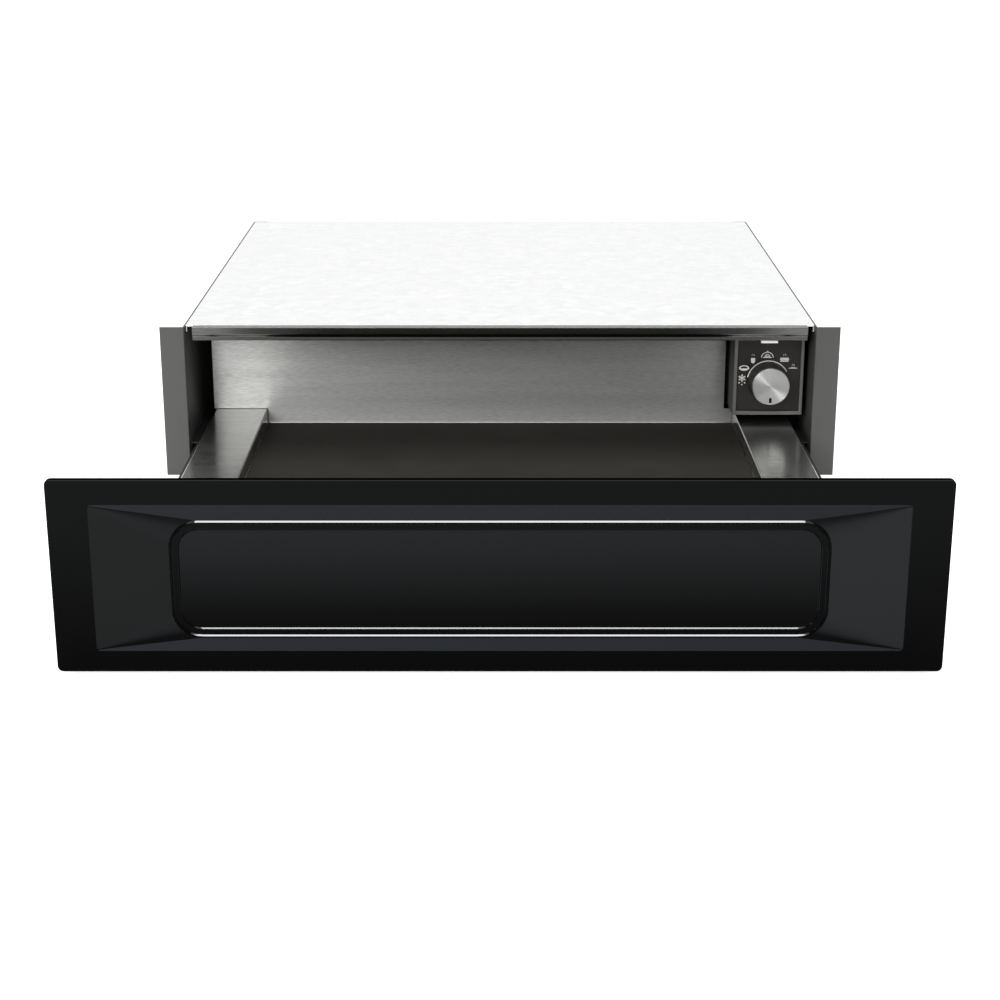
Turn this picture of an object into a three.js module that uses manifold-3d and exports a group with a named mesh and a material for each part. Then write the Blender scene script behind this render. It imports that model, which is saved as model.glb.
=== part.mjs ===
// Built-in warming drawer, 60 cm class, standing in its open position.
// Millimetres. +X right, +Y into the cabinet, +Z up. The origin is the middle of the carcass's footprint.
import * as THREE from "three";
import { mergeVertices } from "three/addons/utils/BufferGeometryUtils.js";
import Module from "manifold-3d";

const wasm = await Module();
wasm.setup();

// ---- Driving dimensions -------------------------------------------------------------------------

// Overall
const FRONT_WIDTH = 597;
const CARCASS_HEIGHT = 135;
const CARCASS_DEPTH = 520;
const DRAWER_TRAVEL = 422.5;

// Sheets and fits
const CASE_SHEET = 1.2;
const TRAY_SHEET = 1;
const SEAM = 0.3; // gap between pieces that touch
const CLOSED_GAP = 0.8; // front panel to flange when the drawer is shut

// Carcass
const FLANGE_INSET = 1; // flange edge inside the front panel's edge
const FLANGE_LAND = 21.5;
const FLANGE_RETURN = 8;
const REAR_FLANGE = 14;
const CASE_LIP = 6;
const RAIL_DEPTH = 8;
const RAIL_FACE = 6.9; // height of the rail's front face
const RAIL_STEP = 1.6; // setback of the lip under that face
const RAIL_LIP = 3.7;
const RAIL_LEAN = 0.6; // how far the lip's lower edge stands forward of its upper one
const RAIL_SHELF = 12;
const RAIL_END_GAP = 7.1; // rail end to the side panel
const JOGGLE_START = 3;
const JOGGLE_LAP = 6;
const VENT = { count: 9, width: 4, height: 36, pitch: 12, x: 40 };

// Front panel
const FRONT_DEPTH = 22;
const FRONT_SKIN = 1.2;
const FRONT_LIFT = 1.6; // panel's bottom edge above the carcass's
const FRONT_OVER = 2.6; // panel's top edge above the carcass's
const FRONT_CORNER = 4;
const RIM_DEPTH = 6; // depth of the panel's outer edge
const RIM_TAPER = 2.1; // how far that edge draws in towards its rear
const BODY_INSET = 7.5; // the panel's body behind that edge, inside it
const BORDER = { side: 27.5, bottom: 15.7, top: 16.2 };
const BEVEL = { side: 51.2, bottom: 9.9, top: 11.3, depth: 7 };
const BEAD = { width: 7, height: 1.3, corner: 20 };
const BACK_PLATE = 1;
const STIFFENER = { width: 400, height: 45, sheet: 1 };
const BUFFER = { radius: 5, proud: 0.5, cap: 6.5, capDepth: 2, edge: 16, height: 18 };

// Drawer tray
const RUNNER_SPACE = 14.4; // tray side to carcass side
const TRAY_DEPTH = 493; // panel back to rear wall
const LEDGE_WIDTH = 47.5;
const LEDGE_HEIGHT = 41.8;
const FLOOR_HEIGHT = 29.1; // top of the mat
const MAT = 1.2;
const FOOT = 14;
const SIDE_DROP = 10; // lower edge of the tray's sides
const REAR_WALL = { clear: 4.8, left: 13, right: 69.8, hem: 5 }; // clear below the rail, ends from the case
const BRACKET = { sheet: 1.5, length: 40, bottom: 12 };

// Telescopic runners
const RUNNER = { length: 480, height: 22, lift: 7, sheet: 1.2, setback: 5 };
const RUNNER_REACH = { outer: 11, midWeb: 4.6, midTip: 12, innerTip: 7.2 };

// Control box
const BOX = { width: 62.3, depth: 75, edge: 4.6, setback: 28, over: 6, sheet: 1 };
const BEZEL = { side: 3, bottom: 3.4, depth: 2 };
const FASCIA = 1.5;
const LAMP = { width: 15.4, height: 2.8, drop: 8.3, proud: 0.5, depth: 16, body: 20 };
const KNOB = { radius: 16.5, depth: 2.5, edge: 0.6, gap: 1, shift: 0.15, drop: 3.75 };
const SKIRT = { radius: 18, nose: 17, depth: 16.5, relief: 3 }; // the knob's dark body behind its disc
const POINTER = { width: 2, depth: 0.5, length: 4.6, inset: 1.8 };
const SHAFT = { radius: 3, inKnob: 12, inBody: 10 };
const BUSH = { radius: 4.2, proud: 0.8 };
const THERMOSTAT = { width: 38, height: 38, depth: 30 };

// Heating
const ELEMENT = { radius: 3.25, height: 12, runs: 6, pitch: 75, right: 48, front: 90, rear: 95, bend: 18 };
const ELEMENT_CROSS = 55; // last cross run from the rear
const ELEMENT_TAIL = { back: 13, spacing: 20 };
const REFLECTOR = { sheet: 0.8, margin: 14, lip: 5 };
const SUPPORT = { sheet: 1.2, foot: 8, offset: 100 };
const CUTOUT = { radius: 8, cap: 5, rim: 4.5, height: 7.5, gap: 2 }; // gap: which space between runs

// Connection corner at the rear right
const TERMINALS = { width: 50, depth: 17, height: 22, drop: 4.5, poles: 3, groove: 2, grooveDepth: 4 };
const COVER = { width: 60, depth: 21, below: 16, drop: 23, sheet: 1.5, edge: 16 };
const GLAND = { radius: 6, bore: 3.5, inside: 10, drop: 37 };
const GLAND_HEAD = { flange: 10, flangeDepth: 3, nose: 7, noseTip: 5.6, noseDepth: 8 };
const GLAND_NUT = { radius: 9.5, depth: 4.5, sides: 6 };
const LOOM = { radius: 3, edge: 24, drop: 17, bend: 14 };

// Push latch
const LATCH = { size: 24, depth: 15, x: -210, height: 72, bore: 4, boreDepth: 14 };
const PLUNGER = { length: 15, proud: 6.4, edge: 1.5 };
const STRIKER = { size: 20, sheet: 1.5 };

// Screws
const CASE_SCREW = { shank: 2, head: 4, headDepth: 2, length: 3 };
const LATCH_SCREW = { shank: 1.5, head: 3, headDepth: 1.1, length: 7, offset: 8.5 };
const FRONT_SCREW = { shank: 2, head: 4, headDepth: 2, length: 8, inset: 22, low: 18, high: 34 };
const RUNNER_SCREW_INSET = 40;
const SCREW_CHAMFER = 0.8;

// ---- Places worked out from the dimensions ------------------------------------------------------

const FRONT_Y = -CARCASS_DEPTH / 2; // front face of the flanges
const BACK_Y = CARCASS_DEPTH / 2;
const REAR_PANEL_BACK = BACK_Y - CASE_SHEET - SEAM;
const REAR_PANEL_FRONT = REAR_PANEL_BACK - CASE_SHEET;
const FLANGE_HALF = FRONT_WIDTH / 2 - FLANGE_INSET;
const CASE_HALF = FLANGE_HALF - FLANGE_LAND; // inner face of a side panel
const RAIL_BOTTOM = CARCASS_HEIGHT - RAIL_FACE - RAIL_STEP - RAIL_LIP;
const TRAY_HALF = CASE_HALF - RUNNER_SPACE;
const FLOOR_HALF = TRAY_HALF - LEDGE_WIDTH;
const FLOOR_TOP = FLOOR_HEIGHT - MAT - SEAM;
const FLOOR_BOTTOM = FLOOR_TOP - TRAY_SHEET;
const PANEL_BACK = FRONT_Y - CLOSED_GAP; // of the closed drawer
const PANEL_FACE = PANEL_BACK - FRONT_DEPTH;
const PANEL_TOP = CARCASS_HEIGHT + FRONT_OVER;
const TRAY_FRONT = PANEL_BACK + BRACKET.sheet + 2 * SEAM;
const TRAY_REAR = PANEL_BACK + TRAY_DEPTH;
const BOX_FACE = FRONT_Y + BOX.setback;
const BOX_RIGHT = CASE_HALF - BOX.edge;
const BOX_LEFT = BOX_RIGHT - BOX.width;
const BOX_BOTTOM = LEDGE_HEIGHT + BOX.over;
const BOX_TOP = CARCASS_HEIGHT - CASE_SHEET - SEAM;
const FASCIA_FACE = BOX_FACE + BEZEL.depth + SEAM;
const LAMP_Z = RAIL_BOTTOM - LAMP.drop;
const DIAL_X = (BOX_LEFT + BOX_RIGHT) / 2;
const KNOB_X = DIAL_X - KNOB.shift;
const KNOB_Z = (BOX_BOTTOM + BEZEL.bottom + LAMP_Z - LAMP.height / 2) / 2 - KNOB.drop;
const ELEMENT_RIGHT = CASE_HALF - ELEMENT.right;
const REFLECTOR_TOP = CASE_SHEET + SEAM + REFLECTOR.sheet;
const COVER_RIGHT = CASE_HALF - COVER.edge;
const COVER_X = COVER_RIGHT - COVER.width / 2;
const GLAND_Z = CARCASS_HEIGHT - GLAND.drop;
const BLOCK_TOP = GLAND_Z - GLAND_NUT.radius - TERMINALS.drop;
const BLOCK_BOTTOM = BLOCK_TOP - TERMINALS.height;
const TAIL_TOP = BLOCK_BOTTOM - SEAM;
const ROUND = 24; // sides of a visible round piece
const SMALL_ROUND = 12;

// ---- Shape helpers ------------------------------------------------------------------------------

const AXES = {
  x: new THREE.Matrix4().makeBasis(
    new THREE.Vector3(0, 1, 0), new THREE.Vector3(0, 0, 1), new THREE.Vector3(1, 0, 0)),
  y: new THREE.Matrix4().makeBasis(
    new THREE.Vector3(1, 0, 0), new THREE.Vector3(0, 0, 1), new THREE.Vector3(0, -1, 0)),
  z: new THREE.Matrix4(),
};

// An outline extruded along an axis, from one coordinate to the other. Outline points are
// (y, z) along x, (x, z) along y and (x, y) along z.
function prism(outline, axis, from, to, holes = []) {
  const shape = new THREE.Shape(outline.map(([u, v]) => new THREE.Vector2(u, v)));
  shape.holes = holes.map((hole) => new THREE.Path(hole.map(([u, v]) => new THREE.Vector2(u, v))));
  const depth = Math.abs(to - from);
  const geometry = new THREE.ExtrudeGeometry(shape, { depth, bevelEnabled: false, steps: 1 });
  geometry.applyMatrix4(AXES[axis]);
  const start = axis === "y" ? Math.max(from, to) : Math.min(from, to);
  const shift = { x: 0, y: 0, z: 0, [axis]: start };
  return geometry.translate(shift.x, shift.y, shift.z);
}

// A block between two corners, given as [low, high] on each axis in either order.
function block([x0, x1], [y0, y1], [z0, z1]) {
  const size = [Math.abs(x1 - x0), Math.abs(y1 - y0), Math.abs(z1 - z0)];
  return new THREE.BoxGeometry(...size).translate((x0 + x1) / 2, (y0 + y1) / 2, (z0 + z1) / 2);
}

// The outline of a bent sheet: a polyline on its outer face, thickened to the left of its direction.
function bentSheet(points, thickness) {
  const offset = points.map((point, i) => {
    const before = points[Math.max(i - 1, 0)];
    const after = points[Math.min(i + 1, points.length - 1)];
    const a = direction(i > 0 ? before : point, i > 0 ? point : after);
    const b = direction(i < points.length - 1 ? point : before, i < points.length - 1 ? after : point);
    const mitre = [-(a[1] + b[1]), a[0] + b[0]];
    const scale = thickness / (1 + a[0] * b[0] + a[1] * b[1]);
    return [point[0] + mitre[0] * scale, point[1] + mitre[1] * scale];
  });
  return [...points, ...offset.reverse()];
}

function direction(from, to) {
  const length = Math.hypot(to[0] - from[0], to[1] - from[1]);
  return [(to[0] - from[0]) / length, (to[1] - from[1]) / length];
}

const mirrored = (outline, side) => outline.map(([u, v]) => [u * side, v]);

const rectangle = ([x0, x1], [z0, z1]) => [[x0, z0], [x1, z0], [x1, z1], [x0, z1]];

// A rectangle with round corners, counter-clockwise.
function roundedRectangle([x0, x1], [z0, z1], radius, steps) {
  const corners = [[x1 - radius, z0 + radius, -90], [x1 - radius, z1 - radius, 0],
    [x0 + radius, z1 - radius, 90], [x0 + radius, z0 + radius, 180]];
  return corners.flatMap(([x, z, start]) =>
    Array.from({ length: steps + 1 }, (_, i) => {
      const angle = THREE.MathUtils.degToRad(start + (90 * i) / steps);
      return [x + radius * Math.cos(angle), z + radius * Math.sin(angle)];
    }));
}

const circle = (x, z, radius, sides) =>
  Array.from({ length: sides }, (_, i) => {
    const angle = (2 * Math.PI * i) / sides;
    return [x + radius * Math.cos(angle), z + radius * Math.sin(angle)];
  });

// A profile of (radius, distance) points turned about an axis through `at`. Distance runs along the axis.
function turned(profile, axis, at, sides = ROUND) {
  const points = profile.map(([radius, distance]) => new THREE.Vector2(radius, distance));
  const geometry = new THREE.LatheGeometry(points, sides);
  if (signedVolume(geometry) < 0) flip(geometry);
  if (axis === "x") geometry.rotateZ(-Math.PI / 2);
  if (axis === "z") geometry.rotateX(Math.PI / 2);
  return geometry.translate(...at);
}

const pin = (radius, from, to) => [[0, from], [radius, from], [radius, to], [0, to]];

// A block whose front and back rectangles differ: rectangles of (x, z) at two y values.
function frustum(front, frontY, back, backY) {
  const vertices = [...front.map(([x, z]) => [x, frontY, z]), ...back.map(([x, z]) => [x, backY, z])];
  const count = front.length;
  const faces = [];
  for (let i = 1; i < count - 1; i += 1) {
    faces.push(0, i, i + 1, count, count + i + 1, count + i);
  }
  for (let i = 0; i < count; i += 1) {
    const next = (i + 1) % count;
    faces.push(i, i + count, next, next, i + count, next + count);
  }
  const geometry = new THREE.BufferGeometry();
  geometry.setAttribute("position", new THREE.Float32BufferAttribute(vertices.flat(), 3));
  geometry.setIndex(faces);
  if (signedVolume(geometry) < 0) flip(geometry);
  return geometry;
}

function signedVolume(geometry) {
  const position = geometry.getAttribute("position");
  const index = geometry.getIndex();
  const corner = [new THREE.Vector3(), new THREE.Vector3(), new THREE.Vector3()];
  let volume = 0;
  for (let i = 0; i < index.count; i += 3) {
    corner.forEach((vector, k) => vector.fromBufferAttribute(position, index.getX(i + k)));
    volume += corner[0].dot(corner[1].clone().cross(corner[2])) / 6;
  }
  return volume;
}

function flip(geometry) {
  const index = geometry.getIndex();
  for (let i = 0; i < index.count; i += 3) {
    const second = index.getX(i + 1);
    index.setX(i + 1, index.getX(i + 2));
    index.setX(i + 2, second);
  }
}

// A path that is walked point by point, so that a tube has one ring at each of its points.
class Route extends THREE.Curve {
  constructor(points) {
    super();
    this.points = points;
  }

  getPoint(t, target = new THREE.Vector3()) {
    const place = t * (this.points.length - 1);
    const i = Math.min(Math.floor(place), this.points.length - 2);
    return target.lerpVectors(this.points[i], this.points[i + 1], place - i);
  }

  getPointAt(u, target) {
    return this.getPoint(u, target);
  }

  getTangentAt(u, target = new THREE.Vector3()) {
    const last = this.points.length - 1;
    const i = Math.round(u * last);
    const before = this.points[Math.max(i - 1, 0)];
    const after = this.points[Math.min(i + 1, last)];
    return target.subVectors(after, before).normalize();
  }
}

// Straight runs between corners, with an arc of the given radius at each inner corner.
function routed(corners, radius, steps) {
  const points = [corners[0]];
  for (let i = 1; i < corners.length - 1; i += 1) {
    const toBefore = corners[i - 1].clone().sub(corners[i]).normalize();
    const toAfter = corners[i + 1].clone().sub(corners[i]).normalize();
    const centre = corners[i].clone().addScaledVector(toBefore, radius).addScaledVector(toAfter, radius);
    for (let k = 0; k <= steps; k += 1) {
      const angle = ((k / steps) * Math.PI) / 2;
      points.push(centre.clone()
        .addScaledVector(toAfter, -radius * Math.cos(angle))
        .addScaledVector(toBefore, -radius * Math.sin(angle)));
    }
  }
  points.push(corners[corners.length - 1]);
  return new Route(points);
}

function tube(route, radius, sides) {
  const shape = new THREE.Shape(circle(0, 0, radius, sides).map(([u, v]) => new THREE.Vector2(u, v)));
  const steps = route.points.length - 1;
  return new THREE.ExtrudeGeometry(shape, { steps, extrudePath: route, bevelEnabled: false });
}

function solid(geometry) {
  const bare = geometry.clone();
  bare.deleteAttribute("normal");
  bare.deleteAttribute("uv");
  const merged = mergeVertices(bare, 1e-4);
  return new wasm.Manifold(new wasm.Mesh({
    numProp: 3,
    vertProperties: new Float32Array(merged.getAttribute("position").array),
    triVerts: new Uint32Array(merged.getIndex().array),
  }));
}

function geometryOf(manifold) {
  const mesh = manifold.getMesh();
  const geometry = new THREE.BufferGeometry();
  geometry.setAttribute("position", new THREE.BufferAttribute(new Float32Array(mesh.vertProperties), 3));
  geometry.setIndex(new THREE.BufferAttribute(new Uint32Array(mesh.triVerts), 1));
  geometry.computeVertexNormals();
  return geometry;
}

const cut = (body, ...tools) =>
  geometryOf(tools.reduce((result, tool) => result.subtract(solid(tool)), solid(body)));

const join = (...bodies) => geometryOf(bodies.map(solid).reduce((all, next) => all.add(next)));

// ---- Materials ----------------------------------------------------------------------------------

const finish = (color, roughness, metalness) =>
  new THREE.MeshStandardMaterial({ color, roughness, metalness });

const MATERIALS = {
  enamel: () => finish(0x141517, 0.12, 0),
  casePaint: () => finish(0x6f7072, 0.45, 0.3),
  zincSheet: () => finish(0x8f9398, 0.4, 0.9),
  brushedSteel: () => finish(0xb9b9b6, 0.3, 1),
  railPaint: () => finish(0x4a4b4d, 0.4, 0.4),
  fascia: () => finish(0x2d2a28, 0.45, 0),
  bezel: () => finish(0x8b8d8f, 0.4, 0.6),
  knobMetal: () => finish(0xc9c9c6, 0.25, 1),
  darkPlastic: () => finish(0x1c1c1d, 0.5, 0),
  paleLens: () => finish(0xe8e8e4, 0.3, 0),
  mat: () => finish(0x36322f, 0.8, 0),
  rubber: () => finish(0x202020, 0.85, 0),
  runnerSteel: () => finish(0x9a9da0, 0.3, 1),
  element: () => finish(0x5b4c43, 0.5, 0.8),
  reflector: () => finish(0xd2d4d4, 0.2, 1),
  palePlastic: () => finish(0xd8d6cf, 0.5, 0),
  loom: () => finish(0x3b3b3b, 0.7, 0),
};

const warmingDrawer = new THREE.Group();
const carcass = new THREE.Group();
const drawer = new THREE.Group();
const middleRunners = new THREE.Group();
const knobGroup = new THREE.Group();
drawer.position.y = -DRAWER_TRAVEL;
middleRunners.position.y = -DRAWER_TRAVEL / 2;
knobGroup.position.set(KNOB_X, 0, KNOB_Z);
carcass.add(knobGroup);
warmingDrawer.add(carcass, middleRunners, drawer);

function place(group, name, material, geometry) {
  const mesh = new THREE.Mesh(geometry, MATERIALS[material]());
  mesh.name = name;
  group.add(mesh);
}

const SIDES = [["left", -1], ["right", 1]];

// ---- Carcass ------------------------------------------------------------------------------------

const runnerScrewY = () => {
  const start = FRONT_Y + RUNNER.setback;
  return [start + RUNNER_SCREW_INSET, start + RUNNER.length - RUNNER_SCREW_INSET];
};
const RUNNER_AXIS_Z = RUNNER.lift + RUNNER.height / 2;

function buildSidePanels() {
  for (const [name, side] of SIDES) {
    const plan = bentSheet([
      [FLANGE_HALF, FRONT_Y + FLANGE_RETURN],
      [FLANGE_HALF, FRONT_Y],
      [CASE_HALF, FRONT_Y],
      [CASE_HALF, BACK_Y - CASE_SHEET],
      [CASE_HALF - REAR_FLANGE, BACK_Y - CASE_SHEET],
    ], -CASE_SHEET);
    const sheet = prism(mirrored(plan, side), "z", 0, CARCASS_HEIGHT);
    const holes = runnerScrewY().map((y) =>
      turned(pin(CASE_SCREW.shank + SEAM, -2 * CASE_SHEET, 2 * CASE_SHEET), "x",
        [side * CASE_HALF, y, RUNNER_AXIS_Z], SMALL_ROUND));
    place(carcass, `${name}_side_panel`, "casePaint", cut(sheet, ...holes));
  }
}

function buildBaseAndTop() {
  const half = CASE_HALF - SEAM;
  const pan = bentSheet([[half, CASE_LIP], [half, 0], [-half, 0], [-half, CASE_LIP]], -CASE_SHEET);
  place(carcass, "base_panel", "zincSheet", prism(pan, "y", FRONT_Y + CASE_SHEET, REAR_PANEL_FRONT - SEAM));

  const lid = bentSheet([
    [-half, CARCASS_HEIGHT - CASE_LIP],
    [-half, CARCASS_HEIGHT],
    [half, CARCASS_HEIGHT],
    [half, CARCASS_HEIGHT - CASE_LIP],
  ], -CASE_SHEET);
  const start = FRONT_Y + RAIL_DEPTH + SEAM;
  const under = CARCASS_HEIGHT - CASE_SHEET - SEAM;
  const railHalf = CASE_HALF - RAIL_END_GAP;
  const joggle = block([-railHalf, railHalf], [FRONT_Y + JOGGLE_START, start + JOGGLE_LAP],
    [under - CASE_SHEET, under]);
  const step = block([-railHalf, railHalf], [start, start + JOGGLE_LAP],
    [under - CASE_SHEET, CARCASS_HEIGHT]);
  place(carcass, "top_panel", "zincSheet",
    join(prism(lid, "y", start, REAR_PANEL_FRONT - SEAM), joggle, step));
}

function buildRearPanel() {
  const half = CASE_HALF - SEAM;
  const sheet = block([-half, half], [REAR_PANEL_FRONT, REAR_PANEL_BACK], [0, CARCASS_HEIGHT]);
  const through = [REAR_PANEL_FRONT - CASE_SHEET, REAR_PANEL_BACK + CASE_SHEET];
  const middle = CARCASS_HEIGHT / 2;
  const vents = Array.from({ length: VENT.count }, (_, i) => {
    const x = VENT.x + (i - (VENT.count - 1) / 2) * VENT.pitch;
    return block([x - VENT.width / 2, x + VENT.width / 2], through,
      [middle - VENT.height / 2, middle + VENT.height / 2]);
  });
  const depth = 2 * CASE_SHEET;
  const glandHole = turned(pin(GLAND.radius + SEAM, -depth, depth), "y",
    [COVER_X, REAR_PANEL_FRONT, GLAND_Z]);
  const screwHoles = latchScrewPlaces().map(([x, z]) =>
    turned(pin(LATCH_SCREW.shank + SEAM, -depth, depth), "y", [x, REAR_PANEL_FRONT, z], SMALL_ROUND));
  place(carcass, "rear_panel", "zincSheet", cut(sheet, ...vents, glandHole, ...screwHoles));
}

function buildTopRail() {
  const half = CASE_HALF - RAIL_END_GAP;
  const faceBottom = CARCASS_HEIGHT - RAIL_FACE;
  const lipFace = FRONT_Y + RAIL_STEP;
  const section = bentSheet([
    [FRONT_Y + RAIL_DEPTH, CARCASS_HEIGHT],
    [FRONT_Y, CARCASS_HEIGHT],
    [FRONT_Y, faceBottom],
    [lipFace, faceBottom - RAIL_STEP],
    [lipFace - RAIL_LEAN, RAIL_BOTTOM],
    [lipFace + RAIL_SHELF, RAIL_BOTTOM],
  ], CASE_SHEET);
  place(carcass, "top_front_rail", "railPaint", prism(section, "x", -half, half));
}

// ---- Runners ------------------------------------------------------------------------------------

// A C channel of a runner: web between two distances from the case, flanges as far as a third.
function channel(side, webFrom, webTo, tip, shrink) {
  const low = RUNNER.lift + shrink;
  const high = RUNNER.lift + RUNNER.height - shrink;
  const x = (distance) => CASE_HALF - distance;
  const web = block([side * x(webFrom), side * x(webTo)], [0, RUNNER.length], [low, high]);
  const reach = [side * x(Math.min(webFrom, tip)), side * x(Math.max(webTo, tip))];
  const lower = block(reach, [0, RUNNER.length], [low, low + RUNNER.sheet]);
  const upper = block(reach, [0, RUNNER.length], [high - RUNNER.sheet, high]);
  return join(web, lower, upper).translate(0, FRONT_Y + RUNNER.setback, 0);
}

function buildRunners() {
  const layer = RUNNER.sheet + SEAM;
  const innerWeb = RUNNER_SPACE - SEAM - RUNNER.sheet;
  for (const [name, side] of SIDES) {
    const outer = channel(side, SEAM, SEAM + RUNNER.sheet, RUNNER_REACH.outer, 0);
    const holes = runnerScrewY().map((y) =>
      turned(pin(CASE_SCREW.shank + SEAM, -2 * RUNNER.sheet, 2 * RUNNER.sheet), "x",
        [side * (CASE_HALF - SEAM - RUNNER.sheet), y, RUNNER_AXIS_Z], SMALL_ROUND));
    place(carcass, `${name}_runner_outer`, "runnerSteel", cut(outer, ...holes));
    place(middleRunners, `${name}_runner_middle`, "runnerSteel",
      channel(side, RUNNER_REACH.midWeb, RUNNER_REACH.midWeb + RUNNER.sheet, RUNNER_REACH.midTip, layer));
    place(drawer, `${name}_runner_inner`, "runnerSteel",
      channel(side, innerWeb, innerWeb + RUNNER.sheet, RUNNER_REACH.innerTip, 2 * layer));
  }
}

// A screw along an axis: its head's underside at distance 0, its shank towards positive distance.
function screw(size, axis, at, towards) {
  const tip = size.length * towards;
  const head = -size.headDepth * towards;
  const crown = size.head - SCREW_CHAMFER;
  const point = size.shank - SCREW_CHAMFER;
  const profile = [[0, head], [crown, head], [size.head, head / 2], [size.head, 0], [size.shank, 0],
    [size.shank, tip - SCREW_CHAMFER * towards], [point, tip], [0, tip]];
  return turned(profile, axis, at, SMALL_ROUND);
}

function buildRunnerScrews() {
  const seat = CASE_HALF - SEAM - RUNNER.sheet - SEAM;
  const size = { ...CASE_SCREW, length: CASE_SCREW.length + SEAM };
  for (const [name, side] of SIDES) {
    runnerScrewY().forEach((y, i) => {
      place(carcass, `${name}_runner_screw_${i + 1}`, "zincSheet",
        screw(size, "x", [side * seat, y, RUNNER_AXIS_Z], side));
    });
  }
}

// ---- Drawer tray --------------------------------------------------------------------------------

function buildTray() {
  const wallReach = [TRAY_FRONT, TRAY_REAR - SEAM];
  const footTop = FLOOR_BOTTOM - SEAM;
  for (const [name, side] of SIDES) {
    const section = bentSheet([
      [TRAY_HALF, SIDE_DROP],
      [TRAY_HALF, LEDGE_HEIGHT],
      [FLOOR_HALF, LEDGE_HEIGHT],
      [FLOOR_HALF, footTop],
      [FLOOR_HALF - FOOT, footTop],
    ], TRAY_SHEET);
    place(drawer, `${name}_tray_side`, "brushedSteel", prism(mirrored(section, side), "y", ...wallReach));
  }
  const half = FLOOR_HALF - SEAM;
  const frontWall = [TRAY_FRONT, TRAY_FRONT + TRAY_SHEET];
  place(drawer, "tray_front_wall", "brushedSteel",
    block([-half, half], frontWall, [footTop + SEAM, LEDGE_HEIGHT]));
  const floorStart = frontWall[1] + SEAM;
  place(drawer, "tray_floor", "brushedSteel",
    block([-half, half], [floorStart, TRAY_REAR - SEAM], [FLOOR_BOTTOM, FLOOR_TOP]));
  place(drawer, "anti_slip_mat", "mat",
    block([-half + SEAM, half - SEAM], [floorStart + SEAM, TRAY_REAR - 2 * SEAM],
      [FLOOR_TOP + SEAM, FLOOR_HEIGHT]));
}

function buildTrayRearWall() {
  const top = RAIL_BOTTOM - REAR_WALL.clear;
  const left = -(CASE_HALF - REAR_WALL.left);
  const right = CASE_HALF - REAR_WALL.right;
  const half = FLOOR_HALF - SEAM;
  const aboveLedge = LEDGE_HEIGHT + SEAM;
  const outline = [[-half, FLOOR_BOTTOM], [half, FLOOR_BOTTOM], [half, aboveLedge], [right, aboveLedge],
    [right, top], [left, top], [left, aboveLedge], [-half, aboveLedge]];
  const wall = prism(outline, "y", TRAY_REAR, TRAY_REAR + TRAY_SHEET);
  const hem = block([left, right], [TRAY_REAR, TRAY_REAR + TRAY_SHEET + REAR_WALL.hem],
    [top - TRAY_SHEET, top]);
  place(drawer, "tray_rear_wall", "brushedSteel", join(wall, hem));
}

// ---- Front panel --------------------------------------------------------------------------------

const WIDE = FRONT_WIDTH / 2;

// The recess in the panel's face, grown by a margin on every side.
function recess(margin) {
  const low = FRONT_LIFT + BORDER.bottom;
  const high = PANEL_TOP - BORDER.top;
  const wide = WIDE - BORDER.side;
  const slope = BEVEL.side / BEVEL.depth;
  const out = margin * slope;
  const mouth = rectangle([-wide - out, wide + out], [low - margin, high + margin]);
  const floor = rectangle([-wide + BEVEL.side - margin, wide - BEVEL.side + margin],
    [low + BEVEL.bottom - margin, high - BEVEL.top + margin]);
  return frustum(mouth, PANEL_FACE, floor, PANEL_FACE + BEVEL.depth + margin);
}

function bead() {
  const wide = WIDE - BORDER.side - BEVEL.side;
  const low = FRONT_LIFT + BORDER.bottom + BEVEL.bottom;
  const high = PANEL_TOP - BORDER.top - BEVEL.top;
  const floorY = PANEL_FACE + BEVEL.depth;
  const outer = roundedRectangle([-wide, wide], [low, high], BEAD.corner, 5);
  const inner = roundedRectangle([-wide + BEAD.width, wide - BEAD.width],
    [low + BEAD.width, high - BEAD.width], BEAD.corner - BEAD.width, 5);
  return prism(outer, "y", floorY - BEAD.height, floorY + FRONT_SKIN / 2, [inner.reverse()]);
}

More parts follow.
